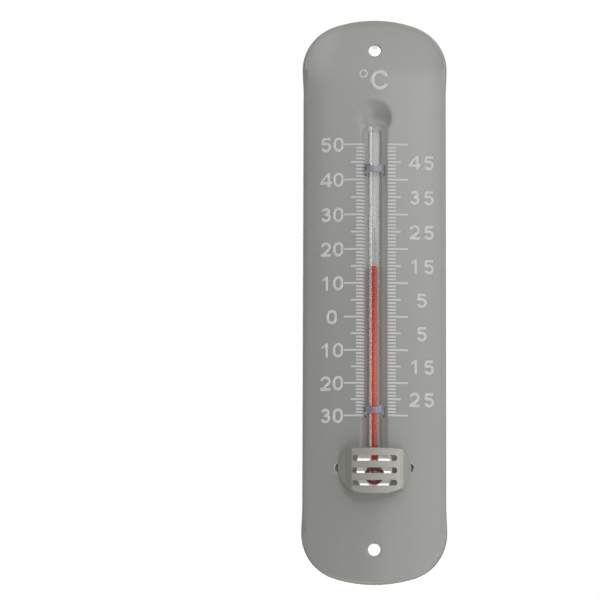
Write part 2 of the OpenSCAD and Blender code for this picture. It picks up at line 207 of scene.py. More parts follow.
class GuardSettings(bpy.types.PropertyGroup):
    """Sizes of the bent guard over the bulb."""

    sheet: length("Sheet thickness", 0.75 * MM, "Thickness of the guard's sheet")
    top_z: length("Top", GUARD_HIGH.z - 0.5 * MM, "Height of the top edge's middle")
    foot_z: length("Foot", GUARD_LOW.z + 0.3 * MM, "Height of the bottom edge's middle")
    panel_x: length("Panel half width", 11.6 * MM, "Half width of the front panel")
    panel_rise: length("Panel curve", 0.42 * MM, "How far the front panel curves back at its sides")
    shoulder_x: length("Shoulder", 14.6 * MM, "Distance of the shoulder's bend from the middle")
    shoulder_drop: length("Shoulder depth", 2.7 * MM, "Depth of the shoulder's bend behind the front")
    wing_x: length("Wing foot", 18.1 * MM, "Distance of the wing's foot from the middle")
    bend_r: length("Bend radius", 1.3 * MM, "Radius of the bends in the middle of the sheet")
    hook_r: length("Hook bend", 0.7 * MM, "Radius of the hook's bend in the middle of the sheet")
    hook: length("Hook length", 4.2 * MM, "Length of a tab's hook behind the plate")
    tab_x: length("Tab", 18.5 * MM, "Distance of a tab from the middle")
    tab_z: length("Tab height", BULB_Z + 4 * MM, "Height of the tabs' middle")
    tab_h: length("Tab width", 4.5 * MM, "Size of a tab up and down")
    slot_w: length("Slot width", 22.9 * MM, "Length of a slot from side to side")
    slot_h: length("Slot height", 3 * MM, "Height of a slot")
    slot_round: length("Slot corners", 1.1 * MM, "Rounding of a slot's corners")
    slot_pitch: length("Slot pitch", 6.5 * MM, "Distance from one slot to the next")
    slot_z: length("Slots", BULB_Z + 0.9 * MM, "Height of the middle slot")
    slots: IntProperty(name="Slots", description="Number of slots", default=3, min=1)
    grid: length("Grid", 0.9 * MM, "Spacing of the mesh")
    colour: paint("Lacquer", (0.32, 0.32, 0.282), "Grey lacquer of the guard")


class ClipSettings(bpy.types.PropertyGroup):
    """Sizes of the two clips that hold the tube."""

    room: length("Room", 0.05 * MM, "Room between the stem and the strap")
    strap: length("Strap", 1.25 * MM, "Thickness of the strap")
    barb: length("Barb", 0.7 * MM, "Reach of a barb beyond its leg")
    barb_len: length("Barb length", 1.7 * MM, "Length of a barb")
    waist: length("Waist", 1.5 * MM, "How far the strap's top edge dips over the stem")
    lift: length("Lift", 0.9 * MM, "How far the legs' lower edges stand above the strap's")
    slot_spare: length("Slot spare", 0.9 * MM, "Length of the plate's slots below the legs")
    edge_round: length("Edge rounding", 0.4 * MM, "Rounding of the moulded edges")
    colour: paint("Plastic", (0.42, 0.41, 0.47), "Clear plastic with a violet tint")


class ScaleSettings(bpy.types.PropertyGroup):
    """Sizes and colour of the printed scale."""

    lowest: IntProperty(name="Lowest", description="Lowest mark in degrees", default=-30)
    highest: IntProperty(name="Highest", description="Highest mark in degrees", default=50)
    zero_z: length("Zero", -10.1 * MM, "Height of the zero mark")
    degree: length("Degree", 1.777 * MM, "Length of one degree at zero")
    growth: share("Growth", 0.00068, "Share by which the mean degree above zero grows for each degree")
    shift: length("Shift", 0.7 * MM, "Shift of the print to the right")
    start: length("Start", TICKS_LOW.x - 0.7 * MM, "Distance of the ticks from the print's middle line")
    ones: length("Ones", 4.3 * MM, "Length of a single degree's tick")
    fives: length("Fives", 6.8 * MM, "Length of a fifth degree's tick")
    tens: length("Tens", TICKS_HIGH.x - TICKS_LOW.x, "Length of a tenth degree's tick")
    tick: length("Tick", 0.9 * MM, "Height of a tick's line")
    ink: length("Ink", 0.09 * MM, "Thickness of the ink that stands on the paint")
    sunk: length("Sunk", 0.04 * MM, "Thickness of the ink that lies in the paint")
    numeral: length("Numeral", 7.84 * MM, "Height of a numeral")
    stroke: length("Stroke", 1.6 * MM, "Width of a numeral's strokes")
    left_x: length("Left numerals", 22.93 * MM, "Distance of the left numbers from the print's middle")
    left_step: length("Left step", 6.45 * MM, "Step between the digits on the left")
    right_x: length("Right numerals", 23.5 * MM, "Distance of the right numbers from the print's middle")
    right_step: length("Right step", 7.4 * MM, "Step between the digits on the right")
    letter: length("Letter", 11.1 * MM, "Height of the unit letter")
    letter_w: length("Letter width", 9.5 * MM, "Width of the unit letter")
    letter_stroke: length("Letter stroke", 2.2 * MM, "Width of the letter's stroke")
    letter_x: length("Letter place", 1.7 * MM, "Distance of the letter from the print's middle line")
    letter_z: length("Letter height", 116.45 * MM, "Height of the letter's middle")
    ring_r: length("Ring radius", 2.28 * MM, "Outer radius of the degree ring")
    ring_stroke: length("Ring stroke", 0.95 * MM, "Width of the degree ring's stroke")
    ring_gap: length("Ring gap", 1.3 * MM, "Gap between the ring and the letter")
    colour: paint("Ink", (0.44, 0.444, 0.446), "Pale grey printing ink")


class StageSettings(bpy.types.PropertyGroup):
    """Camera, lamps and backdrop."""

    below: angle("View from below", 14, "Angle of the camera below the horizontal")
    roll: angle("Roll", 0.19, "Roll of the camera")
    distance: length("Distance", 4.03, "Distance of the camera")
    frame_w: length("Frame", 309.9 * MM, "Width of the picture at the object")
    off_x: length("Side step", 38.4 * MM, "Place of the object to the right of the picture's centre")
    off_z: length("Drop", 1.08 * MM, "Place of the object below the picture's centre")
    floor_z: length("Floor", -1.45, "Height of the floor under the object")
    floor_half: length("Floor half width", 4.0, "Distance of the floor's sides and back from the object")
    floor_front: length("Floor front", 6.0, "Distance of the floor's front edge from the object")
    fill: share("Fill", 0.06, "Strength of the even light from all round")
    backing: length("Backing", 0.5 * MM, "Gap between the plate's rim and the white board behind it")


SETTINGS = {
    "plate": PlateSettings,
    "tube": TubeSettings,
    "guard": GuardSettings,
    "clip": ClipSettings,
    "scale": ScaleSettings,
    "stage": StageSettings,
}


def settings(name):
    """One of the scene's groups of settings."""
    return getattr(bpy.context.scene, "thermometer_" + name)


# Nodes as expressions

class Field:
    """A node's output in an expression: arithmetic on it adds Math nodes to its tree."""

    def __init__(self, graph, socket):
        self.graph = graph
        self.socket = socket

    def math(self, operation, *others, swapped=False):
        values = [self, *others]
        if swapped:
            values.reverse()
        return self.graph.node("ShaderNodeMath", {"operation": operation}, dict(enumerate(values)))

    def __add__(self, other):
        return self.math("ADD", other)

    __radd__ = __add__

    def __sub__(self, other):
        return self.math("SUBTRACT", other)

    def __rsub__(self, other):
        return self.math("SUBTRACT", other, swapped=True)

    def __mul__(self, other):
        return self.math("MULTIPLY", other)

    __rmul__ = __mul__

    def __pow__(self, other):
        return self.math("POWER", other)

    def __abs__(self):
        return self.math("ABSOLUTE")

    def __gt__(self, other):
        return self.math("GREATER_THAN", other)

    def __lt__(self, other):
        return self.math("LESS_THAN", other)


class Graph:
    """Builds one node tree, which may be a material's."""

    def __init__(self, tree, material=None):
        self.tree = tree
        self.material = material
        tree.nodes.clear()

    def node(self, kind, options=None, values=None, out=0):
        """A node with its options set first and then its sockets. It gives one of its outputs."""
        made = self.tree.nodes.new(kind)
        for name, value in (options or {}).items():
            setattr(made, name, value)
        for name, value in (values or {}).items():
            if isinstance(value, Field):
                self.tree.links.new(value.socket, made.inputs[name])
            else:
                made.inputs[name].default_value = value
        return Field(self, made.outputs[out]) if made.outputs else made

    def tint(self, colour, factor):
        """A colour multiplied by a number or a field."""
        if not isinstance(colour, Field):
            colour = tuple(colour)[:3]
        return self.node("ShaderNodeVectorMath", {"operation": "SCALE"}, {0: colour, "Scale": factor})

    def blend(self, factor, a, b):
        """A colour between two colours."""
        colours = [c if isinstance(c, Field) else (*tuple(c)[:3], 1.0) for c in (a, b)]
        return self.node(
            "ShaderNodeMix", {"data_type": "RGBA"}, {0: factor, 6: colours[0], 7: colours[1]}, out=2
        )

    def principled(self, **values):
        """A Principled surface; underscores in the names stand for spaces."""
        named = {name.replace("_", " "): value for name, value in values.items()}
        return self.node("ShaderNodeBsdfPrincipled", None, named)

    def mix_shaders(self, factor, first, second):
        """The first surface where the factor is 0 and the second where it is 1."""
        return self.node("ShaderNodeMixShader", None, {0: factor, 1: first, 2: second})

    def noise(self, where, scale, detail=2.0, roughness=0.5):
        """A noise between 0 and 1 with a number of waves to a metre."""
        return self.node(
            "ShaderNodeTexNoise", None,
            {"Vector": where, "Scale": scale, "Detail": detail, "Roughness": roughness},
        )

    def place(self):
        """The point on the piece, in its own coordinates."""
        return self.node("ShaderNodeTexCoord", out="Object")

    def stretched(self, where, scale):
        """Coordinates scaled by a vector."""
        return self.node("ShaderNodeVectorMath", {"operation": "MULTIPLY"}, {0: where, 1: scale})

    def split(self, where):
        """The three numbers of a vector."""
        return self.outputs("ShaderNodeSeparateXYZ", (0, 1, 2), {0: where})

    def outputs(self, kind, names, values=None):
        """Several outputs of one new node."""
        made = self.node(kind, None, values).socket.node
        return [Field(self, made.outputs[name]) for name in names]

    def bump(self, height, distance):
        """A normal for a height between 0 and 1 that stands for a distance in metres."""
        values = {"Height": height, "Distance": distance, "Strength": 1.0}
        return self.node("ShaderNodeBump", None, values)

    def finish(self, surface):
        """Makes a surface the one that the material shows, and gives the material."""
        self.node("ShaderNodeOutputMaterial", None, {"Surface": surface})
        return self.material


def new_material(name):
    """The graph of a new material's nodes."""
    material = bpy.data.materials.new(name)
    material.use_nodes = True
    return Graph(material.node_tree, material)


# Materials

def enamel_material(name, colour):
    """Sprayed and stoved grey enamel: faint orange peel, cloudy gloss and a trace of mottling."""
    graph = new_material(name)
    where = graph.place()
    peel = graph.noise(where, 420.0, 2.0, 0.4)
    cloud = graph.noise(where, 30.0, 3.0, 0.5)
    speck = graph.noise(where, 2600.0, 1.0, 0.5)
    tone = 0.975 + 0.035 * cloud + 0.015 * speck
    surface = graph.principled(
        Base_Color=graph.tint(colour, tone),
        Roughness=0.13 + 0.05 * cloud + 0.04 * peel,
        IOR=1.5,
        Normal=graph.bump(peel + speck * 0.12, 0.010 * MM),
    )
    return graph.finish(surface)


def satin_material(name, colour):
    """Grey lacquer with a metallic sheen over steel brushed from side to side."""
    graph = new_material(name)
    where = graph.place()
    lines = graph.noise(graph.stretched(where, (45.0, 45.0, 2200.0)), 1.0, 3.0)
    cloud = graph.noise(where, 60.0, 2.0)
    surface = graph.principled(
        Base_Color=graph.tint(colour, 0.94 + 0.06 * lines + 0.05 * cloud),
        Metallic=0.32,
        Roughness=0.16 + 0.08 * lines + 0.06 * cloud,
        IOR=1.5,
        Normal=graph.bump(lines, 0.002 * MM),
    )
    return graph.finish(surface)


def ink_material(scale):
    """Screen-printed ink: matt, a little thin in places, with the grain of the mesh."""
    graph = new_material("printed_ink")
    where = graph.place()
    thin = graph.noise(where, 900.0, 3.0, 0.6)
    grain = graph.noise(where, 4000.0, 1.0, 0.5)
    surface = graph.principled(
        Base_Color=graph.tint(scale.colour, 0.93 + 0.10 * thin + 0.03 * grain),
        Roughness=0.38 + 0.12 * grain,
        Normal=graph.bump(grain, 0.006 * MM),
    )
    return graph.finish(surface)


def clear_to_lamps(graph, surface):
    """Lets lamps reach what is behind a clear surface."""
    shadow = graph.node("ShaderNodeLightPath", out="Is Shadow Ray")
    gap = graph.node("ShaderNodeBsdfTransparent", None, {"Color": (0.94, 0.95, 0.94, 1.0)})
    return graph.mix_shaders(shadow, surface, gap)


def glass_material():
    """Drawn glass: clear, with faint lines along its length."""
    graph = new_material("clear_glass")
    lines = graph.noise(graph.stretched(graph.place(), (900.0, 900.0, 12.0)), 1.0, 2.0)
    surface = graph.principled(
        Base_Color=graph.tint((0.97, 0.985, 0.975), 0.9 + 0.12 * lines),
        Roughness=0.015,
        IOR=1.47,
        Transmission_Weight=0.98,
        Normal=graph.bump(lines, 0.002 * MM),
    )
    return graph.finish(clear_to_lamps(graph, surface))


def plastic_material(clip):
    """Clear moulded plastic with a violet tint, a little cloudy, with faint flow marks."""
    graph = new_material("clip_plastic")
    where = graph.place()
    flow = graph.noise(where, 500.0, 2.0)
    surface = graph.principled(
        Base_Color=graph.tint(clip.colour, 0.92 + 0.1 * flow),
        Roughness=0.12 + 0.1 * flow,
        IOR=1.49,
        Transmission_Weight=0.72,
        Normal=graph.bump(flow, 0.012 * MM),
    )
    return graph.finish(clear_to_lamps(graph, surface))


def opal_material(tube):
    """Opal enamel with painted shade down its middle, where the bore lies in front of it."""
    graph = new_material("opal_backing")
    where = graph.place()
    x, _, _ = graph.split(where)
    streak = graph.noise(graph.stretched(where, (1500.0, 900.0, 40.0)), 1.0, 2.0)
    # Painted shade: the middle of the strip is darkened where the bore in front of it would shade it.
    bore = graph.node("ShaderNodeMapRange", {"interpolation_type": "SMOOTHSTEP"}, {
        "Value": abs(x), "From Min": 0.25 * MM, "From Max": 0.75 * MM, "To Min": 0.86, "To Max": 1.0,
    })
    surface = graph.principled(
        Base_Color=graph.tint(tube.opal, bore * (0.95 + 0.1 * streak)),
        Roughness=0.3 + 0.1 * streak,
        Normal=graph.bump(streak, 0.003 * MM),
    )
    return graph.finish(surface)


def spirit_material(name, thin, deep):
    """Dyed spirit, which looks solid through the glass: bright in the bore and darker down in the bulb."""
    graph = new_material(name)
    where = graph.place()
    cloud = graph.noise(where, 260.0, 2.0)
    _, _, z = graph.split(where)
    rise = graph.node("ShaderNodeMapRange", {"interpolation_type": "SMOOTHSTEP"}, {
        "Value": z, "From Min": BULB_Z + 3.6 * MM, "From Max": BULB_Z + 5.2 * MM,
    })
    surface = graph.principled(
        Base_Color=graph.tint(graph.blend(rise, deep, thin), 0.95 + 0.1 * cloud),
        Roughness=0.25 + 0.08 * cloud,
        IOR=1.36,
        Normal=graph.bump(cloud, 0.002 * MM),
    )
    return graph.finish(surface)


# Meshes

def link_object(name, data):
    """Adds an object to the scene."""
    made = bpy.data.objects.new(name, data)
    bpy.context.scene.collection.objects.link(made)
    return made


def new_object(name, mesh, material=None):
    """Links a new object with a smooth mesh that is already in place."""
    made = link_object(name, mesh)
    if material:
        mesh.materials.append(material)
    for polygon in mesh.polygons:
        polygon.use_smooth = True
    return made


def mesh_of(bm, name):
    """Turns a bmesh into a mesh."""
    mesh = bpy.data.meshes.new(name)
    bm.to_mesh(mesh)
    bm.free()
    return mesh


def solidify(piece, thickness, offset):
    """Gives a sheet its thickness."""
    modifier = piece.modifiers.new("Sheet", "SOLIDIFY")
    modifier.thickness = thickness
    modifier.offset = offset
    modifier.use_even_offset = True
    modifier.use_quality_normals = True


def soften(piece, width, segments=2, sharp=50, flat=False):
    """Rounds the edges of a piece that turn by more than an angle; its faces may stay flat beside them."""
    modifier = piece.modifiers.new("Edges", "BEVEL")
    modifier.width = width
    modifier.segments = segments
    modifier.limit_method = "ANGLE"
    modifier.angle_limit = math.radians(sharp)
    modifier.harden_normals = flat


def arc(centre, radius, start, end, steps):
    """Points on an arc in the flat, from one angle to another, both ends among them."""
    angles = [start + (end - start) * i / steps for i in range(steps + 1)]
    return [(centre[0] + radius * math.cos(a), centre[1] + radius * math.sin(a)) for a in angles]


def circle(centre, radius, steps=48):
    """Points round a circle."""
    return arc(centre, radius, 0.0, 2 * math.pi, steps)[:-1]


def rounded_box(centre, width, height, radius, steps=6, split=1.0 * MM):
    """Points round a rectangle with round corners, and along its sides at steps of a split or more."""
    x, z = centre
    a, b = width / 2 - radius, height / 2 - radius
    corners = [(a, b, 0.0), (-a, b, 0.5), (-a, -b, 1.0), (a, -b, 1.5)]
    points = []
    for cx, cz, turns in corners:
        start = turns * math.pi
        points += arc((x + cx, z + cz), radius, start, start + math.pi / 2, steps)
    return closed_steps(points, split)


def closed_steps(points, split):
    """A closed outline with its long gaps cut into steps of a split or more, and no doubled points."""
    filled = []
    for here, there in zip(points, points[1:] + points[:1]):
        filled.append(here)
        gap = math.dist(here, there)
        extra = int(gap / split)
        for i in range(1, extra):
            filled.append(tuple(h + (t - h) * i / extra for h, t in zip(here, there)))
    return [p for p, q in zip(filled, filled[1:] + filled[:1]) if math.dist(p, q) > 1e-7]


def flat_sheet(loops, grid, keep):
    """Triangles between outlines in the flat: the points, the faces and each outline's point numbers."""
    flat, edges, starts = [], [], []
    for loop in loops:
        first = len(flat)
        starts.append(range(first, first + len(loop)))
        flat += [Vector(p) for p in loop]
        edges += [(first + i, first + (i + 1) % len(loop)) for i in range(len(loop))]
    flat += [Vector(p) for p in grid]
    points, _, faces, origins, _, _ = delaunay_2d_cdt(flat, edges, [], 0, 1e-8, True)
    where = {old: new for new, olds in enumerate(origins) for old in olds}
    centres = np.array([[sum(points[i][k] for i in f) / len(f) for k in (0, 1)] for f in faces])
    kept = keep(centres[:, 0], centres[:, 1])
    faces = [f for f, wanted in zip(faces, kept) if wanted]
    return points, faces, [[where[i] for i in numbers] for numbers in starts]


def lifted(points, faces, lift):
    """A bmesh of flat triangles with each point lifted into space."""
    bm = bmesh.new()
    made = [bm.verts.new(lift(p.x, p.y)) for p in points]
    for face in faces:
        bm.faces.new([made[i] for i in face])
    return bm, made


def add_ring(bm, ring, points):
    """Joins a closed ring of vertices to a new one at the points given."""
    made = [bm.verts.new(p) for p in points]
    for i in range(len(ring)):
        j = (i + 1) % len(ring)
        bm.faces.new([ring[i], ring[j], made[j], made[i]])
    return made


def face_the_front(bm):
    """Drops a sheet's loose points and turns its faces so that its front faces -Y."""
    loose = [v for v in bm.verts if not v.link_faces]
    bmesh.ops.delete(bm, geom=loose, context="VERTS")
    bmesh.ops.recalc_face_normals(bm, faces=bm.faces)
    if sum(f.normal.y * f.calc_area() for f in bm.faces) > 0:
        bmesh.ops.reverse_faces(bm, faces=bm.faces)


def loft(sections):
    """A bmesh through closed rings of points, with a fan over each end."""
    bm = bmesh.new()
    rings = [[bm.verts.new(p) for p in sections[0]]]
    for section in sections[1:]:
        rings.append(add_ring(bm, rings[-1], section))
    for end in (rings[0], rings[-1]):
        middle = bm.verts.new(sum((v.co for v in end), Vector()) / len(end))
        for i in range(len(end)):
            bm.faces.new([end[i], end[(i + 1) % len(end)], middle])
    bmesh.ops.recalc_face_normals(bm, faces=bm.faces)
    return bm


# The pressed surface, in plain arithmetic that works on numbers, arrays and fields alike

def positive(value):
    """The value where it is above zero, and zero below."""
    return (value + abs(value)) * 0.5


def root(value):
    """The square root, and zero below zero."""
    return positive(value) ** 0.5


def larger(a, b, rounding=0.0):
    """The larger of two values, with a rounded change from one to the other."""
    gap = a - b
    return (a + b + (gap * gap + rounding * rounding) ** 0.5) * 0.5


def pressed_y(plate, x, z):
    """Y of the painted front: the dome, with the groove and its bowl pressed in."""
    beyond = positive(abs(z) - plate.straight)
    dome = plate.dome_y - root(plate.dome_r ** 2 - x * x - beyond * beyond)
    past = positive(z - plate.bowl_z) + positive(plate.oval_z - z)
    groove = plate.groove_y + root(plate.groove_r ** 2 - x * x - past * past)
    rise = z - plate.bowl_z
    bowl = plate.bowl_y + root(plate.bowl_r ** 2 - x * x - rise * rise)
    return larger(dome, larger(groove, bowl), plate.crease)


# Face plate

def side_x(plate, z):
    """Half width of the plate along its long sides, which draw in a little between the corners."""
    part = positive(z - plate.corner_z + plate.waist_run) / plate.waist_run
    part = 1 - positive(1 - part)
    return plate.width / 2 - plate.waist * (1 - part * part * (3 - 2 * part))


def plate_outline(plate, step=1.2 * MM):
    """Points round the plate, each with the direction that it faces."""
    turn = math.atan2(plate.corner_z - plate.end_z, plate.corner_x)
    side = int(2 * plate.corner_z / step)
    corner = int(plate.corner_r * turn / step)
    end = int(plate.end_r * (math.pi - 2 * turn) / step)
    small = 1e-6
    rim = []
    for half in (1, -1):
        cx, cz, ez = half * plate.corner_x, half * plate.corner_z, half * plate.end_z
        start = 0.0 if half > 0 else math.pi
        for i in range(side):
            z = plate.corner_z * (2 * i / side - 1)
            slope = (side_x(plate, abs(z) + small) - side_x(plate, abs(z))) / small
            facing = Vector((1.0, -math.copysign(slope, z))).normalized() * half
            rim.append(((half * side_x(plate, abs(z)), half * z), tuple(facing)))
        runs = [
            ((cx, cz), plate.corner_r, start, start + turn, corner),
            ((0.0, ez), plate.end_r, start + turn, start + math.pi - turn, end),
            ((-cx, cz), plate.corner_r, start + math.pi - turn, start + math.pi, corner),
        ]
        for centre, radius, a0, a1, count in runs:
            for i in range(count):
                a = a0 + (a1 - a0) * i / count
                facing = (math.cos(a), math.sin(a))
                rim.append((tuple(c + radius * f for c, f in zip(centre, facing)), facing))
    return rim


def plate_distance(plate, x, z):
    """Distance outside the plate's outline, below zero inside."""
    x, z = abs(x), abs(z)
    side = x - side_x(plate, z)
    corner = np.hypot(x - plate.corner_x, z - plate.corner_z) - plate.corner_r
    end = np.hypot(x, z - plate.end_z) - plate.end_r
    on_end = (z - plate.end_z) * plate.corner_x > x * (plate.corner_z - plate.end_z)
    return np.where(z < plate.corner_z, side, np.where(on_end, end, corner))


class Opening:
    """A rounded rectangle cut through the plate; a circle and an oval are two of its forms."""

    def __init__(self, x, z, width, height, radius, turned_in=0.0):
        self.centre = (x, z)
        self.width, self.height, self.radius = width, height, radius
        self.turned_in = turned_in

    def outline(self):
        """The edge where the flat of the sheet stops."""
        grow = self.turned_in
        steps = 6 if self.radius < 1 * MM else 14
        return rounded_box(
            self.centre, self.width + 2 * grow, self.height + 2 * grow, self.radius + grow, steps
        )

    def distance(self, x, z):
        """Distance outside the edge, below zero in the opening."""
        radius = self.radius + self.turned_in
        dx = positive(abs(x - self.centre[0]) - self.width / 2 - self.turned_in + radius)
        dz = positive(abs(z - self.centre[1]) - self.height / 2 - self.turned_in + radius)
        return np.hypot(dx, dz) - radius


def plate_openings(plate, clip, tube):
    """Every hole of the plate: screws, bulb, guard tabs and clip legs."""
    screw = 2 * plate.screw_r
    openings = [
        Opening(0.0, side * plate.screw_z, screw, screw, plate.screw_r, plate.screw_round)
        for side in (1, -1)
    ]
    openings.append(Opening(
        0.0, plate.oval_z, plate.oval_w, plate.oval_w + plate.oval_straight, plate.oval_w / 2
    ))
    tab = 2 * plate.tab_hole_r
    slot_round = 0.2 * MM
    inner = tube.stem_r + clip.room
    outer = inner + clip.strap + 2 * clip.room
    for side in (1, -1):
        openings.append(Opening(side * plate.tab_hole_x, plate.tab_hole_z, tab, tab, plate.tab_hole_r))
        for name in TUBE_CLIPS:
            low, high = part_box(name)
            bottom, top = low.z - clip.slot_spare, high.z + 2 * clip.room
            openings.append(Opening(
                side * (inner + outer) / 2, (bottom + top) / 2, outer - inner, top - bottom, slot_round
            ))
    return openings


def squared_steps(reach, count):
    """Steps each side of zero that crowd towards it."""
    return [reach * i * abs(i) / count ** 2 for i in range(-count, count + 1)]


def plate_grid(plate, openings):
    """Points of the plate's mesh: a grid on the dome, close lines along the groove, rings in the bowl."""
    half_w, half_h = plate.width / 2, plate.height / 2
    top, foot = plate.bowl_z, plate.oval_z
    edge, reach = plate.groove_edge, 2.2 * MM
    floor_step, row_step, ring_step, ring_split = 0.65 * MM, 1.7 * MM, 0.75 * MM, 0.9 * MM
    first_ring, fewest_sides = 0.7 * MM, 12
    rim_clear, opening_clear, rows_clear = 0.5 * MM, 0.35 * MM, 0.6 * MM
    bowl_reach = plate.bowl_edge + reach
    rows_end = top - bowl_reach * 0.8
    xs = np.arange(-half_w, half_w, plate.grid) + plate.grid / 2
    zs = np.arange(-half_h, half_h, plate.grid) + plate.grid / 2
    x, z = (a.ravel() for a in np.meshgrid(xs, zs))
    in_groove = (abs(x) < edge + reach + plate.grid / 3) & (z > foot - edge) & (z < top)
    in_bowl = np.hypot(x, z - top) < bowl_reach + plate.grid / 3
    open_dome = np.column_stack((x, z))[~(in_groove | in_bowl)]

    flank = [edge + s for s in squared_steps(reach, 6)]
    floor = list(np.arange(0.0, edge - reach, floor_step))
    columns = sorted({round(side * c, 7) for c in floor + flank for side in (1, -1)})
    rows = np.arange(foot - edge, rows_end, row_step)
    x, z = (a.ravel() for a in np.meshgrid(columns, rows))
    groove = np.column_stack((x, z))

    rings = [plate.bowl_edge + s for s in squared_steps(reach, 5)]
    rings += list(np.arange(first_ring, plate.bowl_edge - reach, ring_step))
    bowl = [(0.0, top)]
    for r in rings:
        bowl += circle((0.0, top), r, max(fewest_sides, int(2 * math.pi * r / ring_split)))
    bowl = np.array(bowl)
    bowl = bowl[bowl[:, 1] > rows_end + rows_clear]

    points = np.concatenate((open_dome, groove, bowl))
    x, z = points.T
    clear = plate_distance(plate, x, z) < -plate.rim_round - rim_clear
    for opening in openings:
        clear &= opening.distance(x, z) > opening_clear
    return [tuple(p) for p in points[clear]]


def turn_rim(bm, ring, rim, plate, steps=6, wall_steps=3):
    """Bends the sheet round from the dome into the wall, which runs back to the wall plane."""
    radius = plate.rim_round
    starts = [math.asin(s) for s in rim_slopes(plate, rim)]
    bends = []
    for vertex, ((x, z), facing), start in zip(ring, rim, starts):
        bends.append((x, z, facing, start, vertex.co.y + radius * math.cos(start)))
    for i in range(1, steps + 1):
        points = []
        for x, z, (fx, fz), start, centre_y in bends:
            a = start + (math.pi / 2 - start) * i / steps
            inset = radius * (1 - math.sin(a))
            points.append((x - inset * fx, centre_y - radius * math.cos(a), z - inset * fz))
        ring = add_ring(bm, ring, points)
    for i in range(1, wall_steps + 1):
        points = [(x, y * (1 - i / wall_steps), z) for x, z, _, _, y in bends]
        ring = add_ring(bm, ring, points)


def rim_slopes(plate, rim):
    """Sine of the dome's slope towards the edge at each point of the rim."""
    slopes = []
    for (x, z), (fx, fz) in rim:
        beyond = max(0.0, abs(z) - plate.straight) * (1 if z > 0 else -1)
        slopes.append((x * fx + beyond * fz) / plate.dome_r)
    return slopes


def turn_collar(bm, ring, opening, steps=5, wall_steps=6):
    """Bends the sheet into a screw hole's collar, which runs back to the wall plane."""
    radius = opening.turned_in
    hole_r = opening.radius
    cx, cz = opening.centre
    starts = [(v.co.x - cx, v.co.z - cz, v.co.y) for v in ring]
    reach = hole_r + radius
    for i in range(1, steps + 1):
        a = math.pi / 2 * i / steps
        r = (reach - radius * math.sin(a)) / reach
        drop = radius * (1 - math.cos(a))
        ring = add_ring(bm, ring, [(cx + x * r, y + drop, cz + z * r) for x, z, y in starts])
    r = hole_r / reach
    for i in range(1, wall_steps + 1):
        left = 1 - i / wall_steps
        points = [(cx + x * r, (y + radius) * left, cz + z * r) for x, z, y in starts]
        ring = add_ring(bm, ring, points)


def build_plate(plate, clip, tube):
    """The pressed sheet with its rim, groove, bowl, openings and collars."""
    rim = plate_outline(plate)
    slopes = rim_slopes(plate, rim)
    inner_rim = []
    for ((x, z), (fx, fz)), slope in zip(rim, slopes):
        inset = plate.rim_round * (1 - slope)
        inner_rim.append((x - inset * fx, z - inset * fz))
    openings = plate_openings(plate, clip, tube)

    def on_sheet(x, z):
        kept = plate_distance(plate, x, z) < -plate.rim_round * 0.5
        for opening in openings:
            kept &= opening.distance(x, z) > 0
        return kept

    loops = [inner_rim] + [opening.outline() for opening in openings]
    points, faces, rings = flat_sheet(loops, plate_grid(plate, openings), on_sheet)
    bm, made = lifted(points, faces, lambda x, z: (x, pressed_y(plate, x, z), z))
    turn_rim(bm, [made[i] for i in rings[0]], rim, plate)
    for opening, ring in zip(openings, rings[1:]):
        if opening.turned_in:
            turn_collar(bm, [made[i] for i in ring], opening)
    face_the_front(bm)
    return mesh_of(bm, "face_plate_shell")


# Glass tube and spirit

def stem_section(tube, steps=96):
    """Radius of the D-shaped stem at each angle; angle 0 is to the right and the flat faces +Y."""
    far = 20 * MM
    radii = []
    for i in range(steps):
        a = 2 * math.pi * i / steps
        back = math.sin(a)
        flat = min(far, tube.flat_back / back) if back > 1e-6 else far
        radii.append(-larger(-tube.stem_r, -flat, tube.flat_round))
    return radii


def ring_at(radii, z):
    """Points of a tube section at a height."""
    steps = len(radii)
    return [
        (r * math.cos(2 * math.pi * i / steps), STEM_Y + r * math.sin(2 * math.pi * i / steps), z)
        for i, r in enumerate(radii)
    ]


def eased(value):
    """A step from 0 to 1 with soft ends."""
    value = min(1.0, max(0.0, value))
    return value * value * (3 - 2 * value)


def bulb_radius(tube, z):
    """Radius of the neck and bulb at a height, with a soft change between them."""
    rounding, trim = 0.5 * MM, 0.05 * MM
    rise = z - tube.bulb_z
    ball = math.sqrt(max(0.0, tube.bulb_r ** 2 - rise ** 2))
    if rise < 0:
        return ball
    return larger(ball, tube.neck_r, rounding) - trim * eased(rise / tube.bulb_r)


